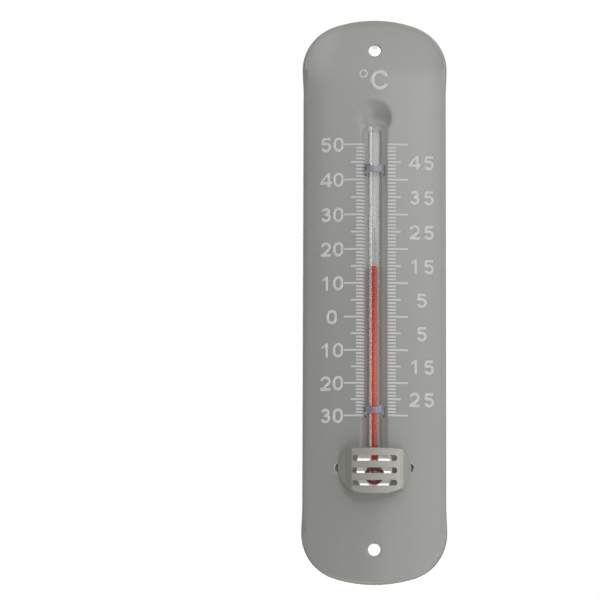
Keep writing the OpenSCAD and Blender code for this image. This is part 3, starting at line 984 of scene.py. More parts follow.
def build_tube(tube):
    """Stem, shoulder, neck and bulb as one closed skin of glass."""
    d_shape = stem_section(tube)
    ball_steps, neck_steps, shoulder_steps, stem_steps, tip_steps = 24, 22, 12, 60, 10
    sections = []
    for i in range(1, ball_steps + 1):
        a = math.pi / 2 * (i / ball_steps - 1)
        z = tube.bulb_z + tube.bulb_r * math.sin(a)
        sections.append(ring_at([tube.bulb_r * math.cos(a)] * len(d_shape), z))
    neck_z = tube.foot_z - tube.shoulder
    for i in range(1, neck_steps + 1):
        z = tube.bulb_z + (neck_z - tube.bulb_z) * i / neck_steps
        sections.append(ring_at([bulb_radius(tube, z)] * len(d_shape), z))
    shoulder_top = tube.foot_z + 1.2 * MM
    for i in range(1, shoulder_steps + 1):
        z = neck_z + (shoulder_top - neck_z) * i / shoulder_steps
        part = eased(i / shoulder_steps)
        sections.append(ring_at([tube.neck_r + (r - tube.neck_r) * part for r in d_shape], z))
    tip_z = tube.top_z - tube.tip_round
    for i in range(1, stem_steps + 1):
        sections.append(ring_at(d_shape, shoulder_top + (tip_z - shoulder_top) * i / stem_steps))
    for i in range(1, tip_steps + 1):
        a = math.pi / 2 * i / tip_steps
        inset = tube.tip_round * (1 - math.cos(a))
        sections.append(ring_at([r - inset for r in d_shape], tip_z + tube.tip_round * math.sin(a)))
    for part in (0.66, 0.33):
        sections.append(ring_at([(r - tube.tip_round) * part for r in d_shape], tube.top_z))
    return mesh_of(loft(sections), "glass_tube_skin")


def build_bulb_spirit(tube):
    """The ball of spirit with its thread up the neck."""
    neck_r, neck_run = tube.column_r + 0.12 * MM, 0.9 * MM
    ball_end = neck_r * 1.6
    sides, ball_steps, neck_steps = 64, 40, 8
    sections = []
    for i in range(1, ball_steps + 1):
        a = math.pi * (i / ball_steps - 0.5)
        r = tube.spirit_r * math.cos(a)
        if a > 0 and r < ball_end:
            break
        sections.append(ring_at([r] * sides, tube.bulb_z + tube.spirit_r * math.sin(a)))
    start_r, start_z = r, tube.bulb_z + tube.spirit_r * math.sin(a)
    for i in range(neck_steps + 1):
        part = eased(i / neck_steps)
        z = start_z + neck_run * i / neck_steps
        sections.append(ring_at([start_r + (neck_r - start_r) * part] * sides, z))
    sections.append(ring_at([neck_r] * sides, SPIRIT_HIGH.z))
    return mesh_of(loft(sections), "bulb_spirit_body")


def build_column(tube):
    """The spirit column: one straight wall from its foot to its top, so that it stretches evenly."""
    foot, top = COLUMN_LOW.z, COLUMN_HIGH.z - tube.column_end
    sides, dip_steps = 48, 6
    wall = [tube.column_r] * sides
    sections = [ring_at([tube.column_r * 0.5] * sides, foot), ring_at(wall, foot), ring_at(wall, top)]
    for i in range(1, dip_steps):
        part = 1 - i / dip_steps
        dip = tube.meniscus * (1 - part * part)
        sections.append(ring_at([tube.column_r * part] * sides, top - dip))
    return mesh_of(loft(sections), "spirit_column_body")


def build_strip(tube):
    """The opal strip with rounded long edges."""
    width, thick = STRIP_HIGH.x - STRIP_LOW.x, STRIP_HIGH.y - STRIP_LOW.y
    middle_y = (STRIP_LOW.y + STRIP_HIGH.y) / 2
    outline = rounded_box((0.0, middle_y), width, thick, thick * 0.4, 3, 0.4 * MM)
    count = 24
    sections = []
    for i in range(count + 1):
        z = STRIP_LOW.z + (STRIP_HIGH.z - tube.strip_end - STRIP_LOW.z) * i / count
        sections.append([(x, y, z) for x, y in outline])
    return mesh_of(loft(sections), "opal_strip_bar")


# Guard

def rounded_path(points, radii, steps=8):
    """A path in plan through points, with each inner corner rounded by its radius."""
    path = [Vector(points[0])]
    for before, here, after, radius in zip(points, points[1:], points[2:], radii):
        here, into, out = Vector(here), Vector(before) - Vector(here), Vector(after) - Vector(here)
        into.normalize()
        out.normalize()
        half = into.angle(out) / 2
        cut = radius / math.tan(half)
        centre = here + (into + out).normalized() * (radius / math.sin(half))
        start, end = here + into * cut - centre, here + out * cut - centre
        turn = start.angle_signed(end)
        for i in range(steps + 1):
            path.append(centre + Matrix.Rotation(-turn * i / steps, 2) @ start)
    path.append(Vector(points[-1]))
    return path


class Plan:
    """A path in plan, read by the distance along it."""

    def __init__(self, path):
        self.path = path
        self.at = [0.0]
        for a, b in zip(path, path[1:]):
            self.at.append(self.at[-1] + (b - a).length)

    def point(self, s):
        """The place at a distance along the path, mirrored to the left where it is below zero."""
        side, s = (1 if s >= 0 else -1), min(abs(s), self.at[-1])
        i = max(1, next((n for n, at in enumerate(self.at) if at >= s), len(self.at) - 1))
        part = (s - self.at[i - 1]) / (self.at[i] - self.at[i - 1])
        p = self.path[i - 1].lerp(self.path[i], part)
        return side * p.x, p.y

    def reach(self, x):
        """Distance along the path at which it first gets as far out as x."""
        for i in range(1, len(self.path)):
            if self.path[i].x >= x:
                part = (x - self.path[i - 1].x) / (self.path[i].x - self.path[i - 1].x)
                return self.at[i - 1] + (self.at[i] - self.at[i - 1]) * part
        return self.at[-1]


def guard_plan(guard, plate):
    """Plan of one side of the guard in the middle of its sheet, from the middle line to the hook's end."""
    front = GUARD_LOW.y + guard.sheet / 2
    gap = 0.25 * MM
    panel = [(guard.panel_x * i / 8, front + guard.panel_rise * (i / 8) ** 2) for i in range(9)]

    def dome(x, radius):
        return plate.dome_y - math.sqrt(radius ** 2 - x * x)

    def hook(x):
        return x, dome(x, plate.dome_r - plate.sheet) + guard.sheet / 2 + gap

    corners = [
        *panel,
        (guard.shoulder_x, front + guard.shoulder_drop),
        (guard.wing_x, dome(guard.tab_x, plate.dome_r) - guard.sheet / 2 - gap),
        hook(guard.tab_x),
        hook(guard.tab_x - guard.hook),
    ]
    soft = 20 * MM
    radii = [soft] * (len(panel) - 2) + [guard.bend_r] * 3 + [guard.hook_r]
    return Plan(rounded_path(corners, radii))


def round_corners(points, radii):
    """Points of an open outline with each inner corner rounded by its own radius."""
    return [tuple(p) for p in rounded_path(points, radii, 5)]


def guard_outline(guard, plan):
    """Flat outline of the whole guard: distance along the sheet and height."""
    half_tab = guard.tab_h / 2
    panel, shoulder = plan.reach(guard.panel_x), plan.reach(guard.shoulder_x)
    foot = plan.reach(guard.wing_x)
    end = plan.at[-1]
    crown_drop, belly_rise, upper_drop, lower_rise = 0.45 * MM, 1.6 * MM, 0.25 * MM, 3.7 * MM
    tuck, hook_run = 0.5 * MM, 2 * MM
    tight, round_r, wide = 0.3 * MM, 0.9 * MM, 1.2 * MM
    parts = [i / 8 for i in range(9)]
    crown = [(panel * t, guard.top_z - crown_drop * t ** 2) for t in parts]
    belly = [(panel * t, guard.foot_z + belly_rise * t ** 2.6) for t in reversed(parts)]
    upper = crown[:-1] + round_corners([
        crown[-1], (shoulder, guard.top_z - upper_drop),
        (foot, guard.tab_z + half_tab + tuck), (foot + tuck, guard.tab_z + half_tab),
        (end - hook_run, guard.tab_z + half_tab),
    ], [round_r, round_r, tight])
    lower = round_corners([
        (end - hook_run, guard.tab_z - half_tab),
        (foot + tuck, guard.tab_z - half_tab), (foot, guard.tab_z - half_tab - tuck),
        (shoulder, guard.foot_z + lower_rise), belly[0],
    ], [tight, round_r, wide]) + belly[1:]
    tip = 0.8 * MM
    right = upper + arc((end - tip, guard.tab_z + half_tab - tip), tip, math.pi / 2, 0.0, 5)
    right += arc((end - tip, guard.tab_z - half_tab + tip), tip, 0.0, -math.pi / 2, 5) + lower
    left = [(-s, z) for s, z in reversed(right)]
    return closed_steps(right[:-1] + left[:-1], 0.7 * MM)


def even_odd(loop, x, z):
    """Which points lie inside an outline."""
    inside = np.zeros(len(x), bool)
    for (x0, z0), (x1, z1) in zip(loop, loop[1:] + loop[:1]):
        if z0 != z1:
            crosses = (z0 > z) != (z1 > z)
            inside ^= crosses & (x < x0 + (z - z0) * (x1 - x0) / (z1 - z0))
    return inside


def nearest(loop, x, z):
    """Distance of each point from an outline's points."""
    corners = np.array(loop)
    return np.min(np.hypot(x[:, None] - corners[:, 0], z[:, None] - corners[:, 1]), axis=1)


def build_guard(guard, plate):
    """The guard's sheet, slotted in the flat and bent along its plan."""
    plan = guard_plan(guard, plate)
    outline = guard_outline(guard, plan)
    rises = [(i - (guard.slots - 1) / 2) * guard.slot_pitch for i in range(guard.slots)]
    slots = [
        Opening(0.0, guard.slot_z + rise, guard.slot_w, guard.slot_h, guard.slot_round) for rise in rises
    ]
    clearance = 0.9 * MM
    bends = [s for s in plan.at if s > guard.panel_x * 0.95]
    columns = list(np.arange(0.0, plan.at[-1], guard.grid)) + bends
    columns = sorted({round(side * s, 6) for s in columns for side in (1, -1)})
    rows = np.arange(GUARD_LOW.z, GUARD_HIGH.z + guard.grid, guard.grid)
    x, z = (a.ravel() for a in np.meshgrid(columns, rows))
    clear = even_odd(outline, x, z) & (nearest(outline, x, z) > clearance)
    for slot in slots:
        clear &= slot.distance(x, z) > clearance
    grid = [tuple(p) for p in np.column_stack((x, z))[clear]]

    def on_sheet(x, z):
        kept = even_odd(outline, x, z)
        for slot in slots:
            kept &= slot.distance(x, z) > 0
        return kept

    def bent(s, z):
        x, y = plan.point(s)
        return x, y, z

    points, faces, _ = flat_sheet([outline] + [slot.outline() for slot in slots], grid, on_sheet)
    bm, _ = lifted(points, faces, bent)
    face_the_front(bm)
    return mesh_of(bm, "bulb_guard_shell")


# Clips

def clip_profile(clip, tube, leg_end):
    """Outline of a clip in plan: a strap over the stem and two barbed legs."""
    inner = tube.stem_r + clip.room
    outer = inner + clip.strap
    shoulder = leg_end - clip.barb_len
    leg_in = inner + clip.room
    right = [
        (leg_in, leg_end), (outer, leg_end), (outer + clip.barb, shoulder + 0.15 * MM),
        (outer + clip.barb, shoulder), (outer, shoulder),
    ]
    over = arc((0.0, STEM_Y), outer, 0.0, -math.pi, 40)
    left = [(-x, y) for x, y in reversed(right)]
    under = arc((0.0, STEM_Y), inner, -math.pi, 0.0, 40)
    return right + over + left + under


def build_clip(name, clip, tube):
    """One moulded clip."""
    low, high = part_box(name)
    profile = clip_profile(clip, tube, high.y)
    dip_x, dip_run, leg_x, leg_run = 0.8 * MM, 2.6 * MM, 2.4 * MM, 2 * MM

    def place(x, y, part):
        """A point of the profile at a share of the clip's height, which changes from strap to legs."""
        over = 1 - eased((abs(x) - dip_x) / dip_run)
        bottom = low.z + clip.lift * eased((abs(x) - leg_x) / leg_run)
        top = high.z - clip.waist * over
        return x, y, bottom + (top - bottom) * part

    sections = [[place(x, y, i / 4) for x, y in profile] for i in range(5)]
    bm = bmesh.new()
    rings = [[bm.verts.new(p) for p in sections[0]]]
    bm.faces.new(rings[0])
    for section in sections[1:]:
        rings.append(add_ring(bm, rings[-1], section))
    bm.faces.new(rings[-1])
    bmesh.ops.recalc_face_normals(bm, faces=bm.faces)
    bmesh.ops.triangulate(bm, faces=[f for f in bm.faces if len(f.verts) > 4])
    return mesh_of(bm, name + "_moulding")


# Print

def mark_z(scale, degrees):
    """Height of a temperature on the scale, for numbers and fields alike."""
    return scale.zero_z + scale.degree * degrees * (1 + scale.growth * degrees)


def tick_tree(scale, plate, material):
    """Ticks of one side: a bar for each degree, laid on the pressed surface."""
    tree = bpy.data.node_groups.new("scale_ticks", "GeometryNodeTree")
    graph = Graph(tree)
    tree.interface.new_socket("Geometry", in_out="OUTPUT", socket_type="NodeSocketGeometry")
    sizes = [
        ("Lowest", "Int", scale.lowest), ("Count", "Int", scale.highest - scale.lowest + 1),
        ("Side", "Float", 1.0), ("Start", "Float", scale.start), ("Shift", "Float", scale.shift),
        ("Ones", "Float", scale.ones), ("Fives", "Float", scale.fives), ("Tens", "Float", scale.tens),
        ("Height", "Float", scale.tick), ("Above", "Float", scale.ink), ("Below", "Float", scale.sunk),
    ]
    for name, kind, default in sizes:
        socket = tree.interface.new_socket(name, in_out="INPUT", socket_type="NodeSocket" + kind)
        socket.default_value = default
    names = [name for name, _, _ in sizes]
    inputs = dict(zip(names, graph.outputs("NodeGroupInput", names)))

    degrees = graph.node("GeometryNodeInputIndex") + inputs["Lowest"]

    def divides(number):
        """1 where the degrees are a multiple of a number, else 0."""
        return degrees.math("FLOORED_MODULO", number) < 0.5

    tens, fives = divides(10.0), divides(5.0)
    reach = inputs["Ones"] + fives * (inputs["Fives"] - inputs["Ones"]) + tens * (
        inputs["Tens"] - inputs["Fives"]
    )
    across = inputs["Shift"] + inputs["Side"] * (inputs["Start"] + reach * 0.5)
    at = graph.node("ShaderNodeCombineXYZ", None, {0: across, 2: mark_z(scale, degrees)})
    marks = graph.node("GeometryNodePoints", None, {"Count": inputs["Count"], "Position": at})
    bar = graph.node(
        "GeometryNodeMeshCube", None, {"Vertices X": 17, "Vertices Y": 2, "Vertices Z": 2}
    )
    thick = inputs["Above"] + inputs["Below"]
    size = graph.node("ShaderNodeCombineXYZ", None, {0: reach, 1: thick, 2: inputs["Height"]})
    bars = graph.node("GeometryNodeInstanceOnPoints", None, {"Points": marks, "Instance": bar, "Scale": size})
    real = graph.node("GeometryNodeRealizeInstances", None, {0: bars})
    x, y, z = graph.split(graph.node("GeometryNodeInputPosition"))
    lift = pressed_y(plate, x, z) + y + (inputs["Below"] - inputs["Above"]) * 0.5
    laid = graph.node("ShaderNodeCombineXYZ", None, {0: x, 1: lift, 2: z})
    pressed = graph.node("GeometryNodeSetPosition", None, {"Geometry": real, "Position": laid})
    flat = graph.node("GeometryNodeSetShadeSmooth", None, {"Geometry": pressed, "Shade Smooth": False})
    inked = graph.node("GeometryNodeSetMaterial", None, {"Geometry": flat, "Material": material})
    graph.node("NodeGroupOutput", None, {0: inked})
    return tree


def socket_name(tree, name):
    """The identifier of a tree's input."""
    return next(item.identifier for item in tree.interface.items_tree if item.name == name)


def build_ticks(name, side, tree):
    """Runs the tick tree for one side and keeps its mesh."""
    holder = link_object(name + "_holder", bpy.data.meshes.new(name + "_holder"))
    modifier = holder.modifiers.new("Ticks", "NODES")
    modifier.node_group = tree
    modifier[socket_name(tree, "Side")] = float(side)
    evaluated = holder.evaluated_get(bpy.context.evaluated_depsgraph_get())
    mesh = bpy.data.meshes.new_from_object(evaluated)
    bpy.data.objects.remove(holder)
    return link_object(name, mesh)


class Pen:
    """Draws the numerals as overlapping strokes in millimetres, round the middle of their height."""

    def __init__(self, scale):
        self.half = scale.numeral / MM / 2
        self.stroke = scale.stroke / MM

    def bow(self, centre, radius, start, end, stroke=None):
        """Part of a ring with the outer radius given, from one angle to another in degrees."""
        stroke = stroke or self.stroke
        a0, a1 = math.radians(start), math.radians(end)
        steps = max(6, int(abs(end - start) / 8))
        return arc(centre, radius, a0, a1, steps) + arc(centre, radius - stroke, a1, a0, steps)

    def bar(self, x0, z0, x1, z1):
        return [(x0, z0), (x1, z0), (x1, z1), (x0, z1)]

    def zero(self):
        h, s, r = self.half, self.stroke, 2.75
        low, high = r - h, h - r
        return [
            self.bow((0, high), r, -2, 182), self.bow((0, low), r, 178, 362),
            self.bar(-r, low - 0.05, s - r, high + 0.05), self.bar(r - s, low - 0.05, r, high + 0.05),
        ]

    def one(self):
        h, s = self.half, self.stroke
        return [[
            (1.4, -h), (1.4, h), (0.3, h), (-1.8, h - 1.5), (-1.8, h - 3), (1.4 - s, h - 2), (1.4 - s, -h)
        ]]

    def two(self):
        h, s, r = self.half, self.stroke, 2.8
        a = math.radians(-42)
        foot = s - h - 0.1
        spoke = (math.cos(a), math.sin(a))
        inner = ((r - s) * spoke[0], h - r + (r - s) * spoke[1])
        outer = (r * spoke[0], h - r + r * spoke[1])
        return [
            self.bow((0, h - r), r, -44, 172),
            [inner, outer, (0.2, foot - 0.05), (0.2, foot - 0.6), (-r, foot - 0.6), (-r, foot - 0.3)],
            self.bar(-r, -h, r, foot),
        ]

    def three(self):
        h, s = self.half, self.stroke
        upper, lower = 2.35, 2.65
        middle = h - 2 * upper + 0.1
        return [
            self.bow((0, h - upper), upper, -90, 165), self.bow((0, lower - h), lower, -165, 90),
            self.bar(-0.9, middle, 0.4, middle + s - 0.1),
        ]

    def four(self):
        h, s = self.half, self.stroke
        bar = 1.6 - h
        top = bar + s - 0.1
        return [
            self.bar(2.3 - s, -h, 2.3, h), self.bar(-3.2, bar, 3.2, top),
            [(0.7, h), (2.0, h), (2.3 - s + 0.1, h - 2.1), (-1.4, top - 0.05), (-3.2, top - 0.1)],
        ]

    def five(self):
        h, s, r = self.half, self.stroke, 2.75
        bar = h - s + 0.1
        return [
            self.bow((0, r - h), r, -162, 138),
            [(-2.45, 0), (-1.95, h), (-0.75, h), (-0.75, bar), (-1, 1.1), (-1.2, 0)],
            self.bar(-1.95, bar, 2.4, h),
        ]

    def digit(self, value):
        return [self.zero, self.one, self.two, self.three, self.four, self.five][value]()


def moved(shapes, x, z):
    """Shapes in millimetres moved to a place in metres."""
    return [[(x + px * MM, z + pz * MM) for px, pz in shape] for shape in shapes]


def number_shapes(pen, value, x, z, step):
    """The strokes of a number with its middle at a place."""
    digits = [int(d) for d in str(value)]
    shapes = []
    for i, d in enumerate(digits):
        shapes += moved(pen.digit(d), x + (i - (len(digits) - 1) / 2) * step, z)
    return shapes


def build_print(name, shapes, plate, scale):
    """Joins overlapping strokes and lays them on the pressed surface as a thin skin of ink."""
    loops = [closed_steps(shape, 0.8 * MM) for shape in shapes]

    def inked(x, z):
        kept = np.zeros(len(x), bool)
        for loop in loops:
            kept |= even_odd(loop, x, z)
        return kept

    points, faces, _ = flat_sheet(loops, [], inked)
    bm, _ = lifted(points, faces, lambda x, z: (x, pressed_y(plate, x, z) - scale.ink, z))
    face_the_front(bm)
    made = new_object(name, mesh_of(bm, name))
    solidify(made, scale.ink + scale.sunk, -1.0)
    return made


def unit_shapes(pen, scale):
    """Strokes of the degree ring and the letter beside it."""
    x, z = scale.shift + scale.letter_x, scale.letter_z
    r, stroke = scale.letter_w / 2 / MM, scale.letter_stroke / MM
    rise = scale.letter / 2 / MM - r
    gap = scale.letter / 6 / MM
    open_at = math.degrees(math.asin((gap - rise) / (r - stroke / 2)))
    shapes = moved([
        pen.bow((0, rise), r, open_at, 182, stroke), pen.bow((0, -rise), r, 178, 360 - open_at, stroke),
        pen.bar(-r, -rise - 0.1, stroke - r, rise + 0.1),
    ], x, z)
    ring_x = x - scale.letter_w / 2 - scale.ring_r - scale.ring_gap
    ring_z = z + scale.letter / 2 - scale.ring_r
    ring_r, ring_stroke = scale.ring_r / MM, scale.ring_stroke / MM
    halves = [pen.bow((0, 0), ring_r, a - 92, a + 92, ring_stroke) for a in (0, 180)]
    return shapes + moved(halves, ring_x, ring_z)


# Operators

def dress(piece, material, body, slot, *nodes):
    """Gives a piece its material and its body, and hides the CAD nodes that it stands for; its slot is not
    used.
    """
    if material and not piece.data.materials:
        piece.data.materials.append(material)
    if nodes:
        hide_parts(*nodes)
    if body:
        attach(piece, body)


class MakePlate(bpy.types.Operator):
    """Press the face plate from its sheet and enamel it"""

    bl_idname = "thermometer.plate"
    bl_label = "Face Plate"

    def execute(self, context):
        plate = settings("plate")
        shell = new_object("face_plate_shell", build_plate(plate, settings("clip"), settings("tube")))
        solidify(shell, plate.sheet, -1.0)
        soften(shell, plate.edge_round)
        dress(shell, enamel_material("grey_enamel", plate.colour), "case", "grey_paint", "face_plate")
        return {"FINISHED"}


class MakeTube(bpy.types.Operator):
    """Draw the glass tube and fill it with spirit"""

    bl_idname = "thermometer.tube"
    bl_label = "Glass Tube"

    def execute(self, context):
        tube = settings("tube")
        glass = new_object("glass_tube_skin", build_tube(tube))
        dress(glass, glass_material(), "case", "clear_glass", "glass_tube")
        strip = new_object("opal_strip_bar", build_strip(tube))
        dress(strip, opal_material(tube), "case", "opal_backing", "opal_strip")
        bulb = new_object("bulb_spirit_body", build_bulb_spirit(tube))
        deep_red = spirit_material("deep_spirit", tube.spirit, tube.deep_spirit)
        dress(bulb, deep_red, "case", "bulb_red", "bulb_spirit")
        column = new_object("spirit_column_body", build_column(tube))
        red = spirit_material("spirit", tube.spirit, tube.spirit)
        dress(column, red, None, "column_red", "spirit_column")
        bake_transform(column)
        column.visible_shadow = False
        return {"FINISHED"}


class MakeClips(bpy.types.Operator):
    """Mould the two clips that hold the tube"""

    bl_idname = "thermometer.clips"
    bl_label = "Tube Clips"

    def execute(self, context):
        clip, tube = settings("clip"), settings("tube")
        plastic = plastic_material(clip)
        for name in TUBE_CLIPS:
            piece = new_object(name + "_moulding", build_clip(name, clip, tube))
            soften(piece, clip.edge_round, 3, 40)
            dress(piece, plastic, "case", "clip_plastic", name)
        return {"FINISHED"}


class MakeGuard(bpy.types.Operator):
    """Slot and bend the guard over the bulb"""

    bl_idname = "thermometer.guard"
    bl_label = "Bulb Guard"

    def execute(self, context):
        guard, plate = settings("guard"), settings("plate")
        shell = new_object("bulb_guard_shell", build_guard(guard, plate))
        solidify(shell, guard.sheet, 0.0)
        soften(shell, plate.edge_round, flat=True)
        dress(shell, satin_material("guard_lacquer", guard.colour), "case", "guard_paint", "bulb_guard")
        return {"FINISHED"}


class MakeTicks(bpy.types.Operator):
    """Print the scale's ticks on both sides of the tube"""

    bl_idname = "thermometer.ticks"
    bl_label = "Scale Ticks"

    def execute(self, context):
        scale, plate = settings("scale"), settings("plate")
        ink = ink_material(scale)
        tree = tick_tree(scale, plate, ink)
        for name, side in (("left", -1), ("right", 1)):
            ticks = build_ticks(name + "_ticks_print", side, tree)
            dress(ticks, ink, "case", "pale_ink", name + "_scale_ticks")
        return {"FINISHED"}


class MakeNumerals(bpy.types.Operator):
    """Print the numerals and the unit mark"""

    bl_idname = "thermometer.numerals"
    bl_label = "Numerals"

    def execute(self, context):
        scale, plate = settings("scale"), settings("plate")
        pen = Pen(scale)
        ink = bpy.data.materials["printed_ink"]
        sides = (("left", 0, -scale.left_x, scale.left_step), ("right", 5, scale.right_x, scale.right_step))
        for name, first, x, step in sides:
            shapes = []
            for degrees in range(scale.lowest + first, scale.highest + 1, 10):
                place = scale.shift + x, mark_z(scale, degrees)
                shapes += number_shapes(pen, abs(degrees), *place, step)
            piece = build_print(name + "_numerals_print", shapes, plate, scale)
            dress(piece, ink, "case", "pale_ink", name + "_numerals")
        unit = build_print("unit_mark_print", unit_shapes(pen, scale), plate, scale)
        dress(unit, ink, "case", "pale_ink", "unit_mark")
        return {"FINISHED"}


# Stage

# Each panel's name, azimuths, elevations, distance and radiance
BOARD_LAMP = ("board_lamp", (1.5, 2.5), (-10.2, -9.2), 1.6, 11300.0)
ROOM_PANELS = (
    ("right_panel", (2.5, 40), (-30, 25), 1.5, 1.1),
    ("far_right_panel", (18, 42), (-30, 25), 1.5, 0.42),
    ("side_panel", (45, 80), (-20, 70), 1.5, 1.5),
    ("top_panel", (-21, 25), (15.8, 47), 1.45, 1.72),
    ("upper_left_panel", (-42, -21), (25, 55), 1.45, 1.3),
    ("ceiling_panel", (-40, 40), (52, 80), 1.4, 1.3),
    ("floor_panel", (-55, 55), (-82, -46), 1.35, 1.6),
)
BACK_PANELS = (
    ("back_panel", (155, 205), (-25, 45), 1.5, 2.4),
    ("left_panel", (-130, -100), (-20, 40), 1.5, 1.0),
)
LOW_PANEL = ("low_panel", (5, 40), (-50, -26), 1.5, 2.4)
TUBE_PANELS = (
    ("near_line", (-60, -45), (-30, 40), 1.5, 6.0),
    ("edge_line", (-88, -64), (-30, 40), 1.5, 4.5),
)


def aim(item, place, target, roll=0.0):
    """Puts a camera or lamp at a place, turned towards a target."""
    toward = (Vector(target) - Vector(place)).to_track_quat("-Z", "Y").to_matrix().to_4x4()
    item.matrix_world = Matrix.Translation(place) @ toward @ Matrix.Rotation(roll, 4, "Z")


def around(azimuth, elevation, distance):
    """A place round the object; azimuth 0 is in front and 90 to its right."""
    a, e = math.radians(azimuth), math.radians(elevation)
    return Vector((math.sin(a) * math.cos(e), -math.cos(a) * math.cos(e), math.sin(e))) * distance


def add_panel(name, azimuths, elevations, distance, radiance):
    """A soft panel that the object sees between two azimuths and two elevations, in degrees."""
    azimuth, elevation = sum(azimuths) / 2, sum(elevations) / 2
    lamp = bpy.data.lights.new(name, "AREA")
    lamp.shape = "RECTANGLE"
    lamp.size = 2 * distance * math.tan(math.radians(azimuths[1] - azimuth))
    lamp.size_y = 2 * distance * math.tan(math.radians(elevations[1] - elevation))
    lamp.energy = radiance * math.pi * lamp.size * lamp.size_y
    item = link_object(name, lamp)
    aim(item, around(azimuth, elevation, distance), (0, 0, 0))
    return item


def light_only(lamp, target):
    """Keeps a lamp's light to one object, on which the other objects still throw shadows."""
    group = bpy.data.collections.new(lamp.name + "_target")
    group.objects.link(target)
    lamp.light_linking.receiver_collection = group


def white_world(fill):
    """A world that looks white to the camera, in gloss and through glass, and lights the object softly."""
    world = bpy.data.worlds.new("white_room")
    world.use_nodes = True
    bpy.context.scene.world = world
    graph = Graph(world.node_tree)
    rays = ("Is Camera Ray", "Is Transmission Ray", "Is Glossy Ray")
    camera, through, glossy = graph.outputs("ShaderNodeLightPath", rays)
    _, y, _ = graph.split(graph.node("ShaderNodeTexCoord", out="Generated"))
    behind = graph.node("ShaderNodeMapRange", None, {"Value": y, "From Min": 0.0, "From Max": 0.2})
    strength = fill + camera * (1 - fill) + through * (1 - fill) * 0.45 + glossy * behind * 0.6
    back = graph.node("ShaderNodeBackground", None, {"Color": (1, 1, 1, 1), "Strength": strength})
    graph.node("ShaderNodeOutputWorld", None, {"Surface": back})


def backing_material(plate):
    """White board that is seen through the plate's openings from the front, and from nowhere else; away from
    the bulb's opening it is dark, as painted shade.
    """
    graph = new_material("white_board")
    camera, through = graph.outputs("ShaderNodeLightPath", ("Is Camera Ray", "Is Transmission Ray"))
    behind = graph.node("ShaderNodeNewGeometry", out="Backfacing")
    seen = (camera + through) * (1 - behind)
    x, _, z = graph.split(graph.place())
    oval_x, oval_up, screw_up = plate.tab_hole_x - plate.tab_hole_r - 2 * MM, 15 * MM, 8 * MM
    oval = (abs(x) < oval_x) * (abs(z - plate.oval_z) < oval_up)
    glow = oval * 0.14 + (abs(z) > plate.screw_z - screw_up)
    # Painted shade: outside the region behind the bulb's opening the board is dark, so the tab holes and clip
    # slots show shade; behind the screw holes it glows white.
    tone = graph.tint((0.9, 0.9, 0.9), 0.1 + 0.9 * oval)
    white = graph.node("ShaderNodeBsdfDiffuse", None, {"Color": tone})
    bright = graph.node("ShaderNodeEmission", None, {"Color": (1, 1, 1, 1), "Strength": 1.0})
    lit = graph.mix_shaders(glow, white, bright)
    gap = graph.node("ShaderNodeBsdfTransparent")
    return graph.finish(graph.mix_shaders(seen, gap, lit))


def floor_material():
    """Pale floor, which looks nearly white to the camera and keeps shadows."""
    graph = new_material("pale_floor")
    camera = graph.node("ShaderNodeLightPath", out="Is Camera Ray")
    white = graph.node("ShaderNodeBsdfDiffuse", None, {"Color": (0.8, 0.8, 0.8, 1)})
    bright = graph.node("ShaderNodeEmission", None, {"Color": (1, 1, 1, 1), "Strength": 0.92})
    return graph.finish(graph.mix_shaders(camera * 0.8, white, bright))


def add_board(name, corners, material):
    """A flat stage piece through four corners."""
    mesh = bpy.data.meshes.new(name)
    mesh.from_pydata([tuple(c) for c in corners], [], [(0, 1, 2, 3)])
    board = new_object(name, mesh, material)
    return board


def add_camera(stage):
    """The camera in front of the object and a little below it."""
    camera = bpy.data.cameras.new("camera")
    camera.lens = camera.sensor_width * stage.distance / stage.frame_w
    camera.clip_end = 20.0
    item = link_object("camera", camera)
    below = stage.below
    up = Vector((0, math.sin(below), math.cos(below)))
    back = Vector((0, -math.cos(below), -math.sin(below)))
    target = Vector((-stage.off_x, 0, 0)) + up * stage.off_z
    aim(item, target + back * stage.distance, target, stage.roll)
    bpy.context.scene.camera = item


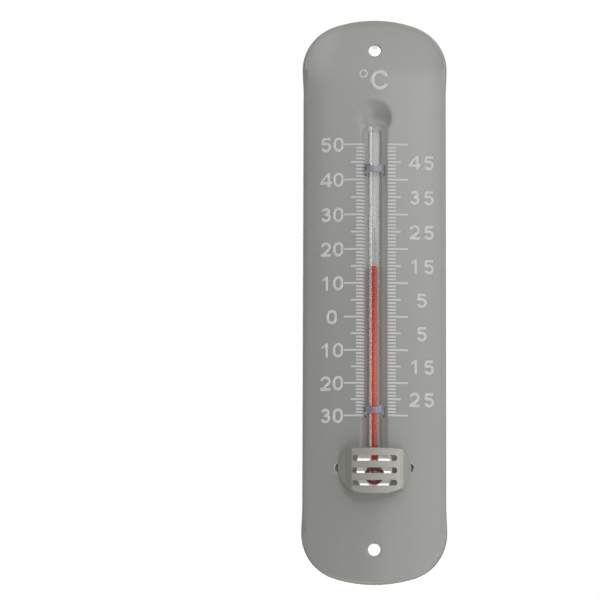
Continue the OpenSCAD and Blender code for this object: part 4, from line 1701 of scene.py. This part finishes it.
class MakeStage(bpy.types.Operator):
    """Set up the camera, the lamps, the floor and the white room"""

    bl_idname = "thermometer.stage"
    bl_label = "Stage"

    def execute(self, context):
        stage, plate = settings("stage"), settings("plate")
        white_world(stage.fill)
        spare = 5 * MM
        x, z, y = plate.tab_hole_x + spare, plate.screw_z + spare, stage.backing
        corners = [(-x, y, -z), (x, y, -z), (x, y, z), (-x, y, z)]
        board = add_board("white_board", corners, backing_material(plate))
        light_only(add_panel(*BOARD_LAMP), board)
        x, z, front = stage.floor_half, stage.floor_z, stage.floor_front
        corners = [(-x, -front, z), (x, -front, z), (x, x, z), (-x, x, z)]
        add_board("floor", corners, floor_material())
        for panel in ROOM_PANELS:
            add_panel(*panel)
        for panel in BACK_PANELS:
            light_only(add_panel(*panel), context.scene.objects["face_plate_shell"])
        add_panel(*LOW_PANEL).visible_glossy = False
        for panel in TUBE_PANELS:
            line = add_panel(*panel)
            line.visible_transmission = False
            light_only(line, context.scene.objects["glass_tube_skin"])
        add_camera(stage)
        context.scene.view_settings.view_transform = "Standard"
        return {"FINISHED"}


OPERATORS = (MakePlate, MakeTube, MakeClips, MakeGuard, MakeTicks, MakeNumerals, MakeStage)


class ThermometerPanel(bpy.types.Panel):
    """Lists the pieces of the thermometer."""

    bl_idname = "VIEW3D_PT_thermometer"
    bl_label = "Wall Thermometer"
    bl_space_type = "VIEW_3D"
    bl_region_type = "UI"
    bl_category = "Thermometer"

    def draw(self, context):
        for operator in OPERATORS:
            self.layout.operator(operator.bl_idname)


CLASSES = (*SETTINGS.values(), *OPERATORS, ThermometerPanel)


def register():
    for cls in CLASSES:
        bpy.utils.register_class(cls)
    for name, group in SETTINGS.items():
        setattr(bpy.types.Scene, "thermometer_" + name, PointerProperty(type=group))


def unregister():
    for name in SETTINGS:
        delattr(bpy.types.Scene, "thermometer_" + name)
    for cls in reversed(CLASSES):
        bpy.utils.unregister_class(cls)


def main():
    """Builds every piece and the stage."""
    register()
    bpy.ops.thermometer.plate()
    bpy.ops.thermometer.tube()
    bpy.ops.thermometer.clips()
    bpy.ops.thermometer.guard()
    bpy.ops.thermometer.ticks()
    bpy.ops.thermometer.numerals()
    bpy.ops.thermometer.stage()


if __name__ == "__main__":
    main()
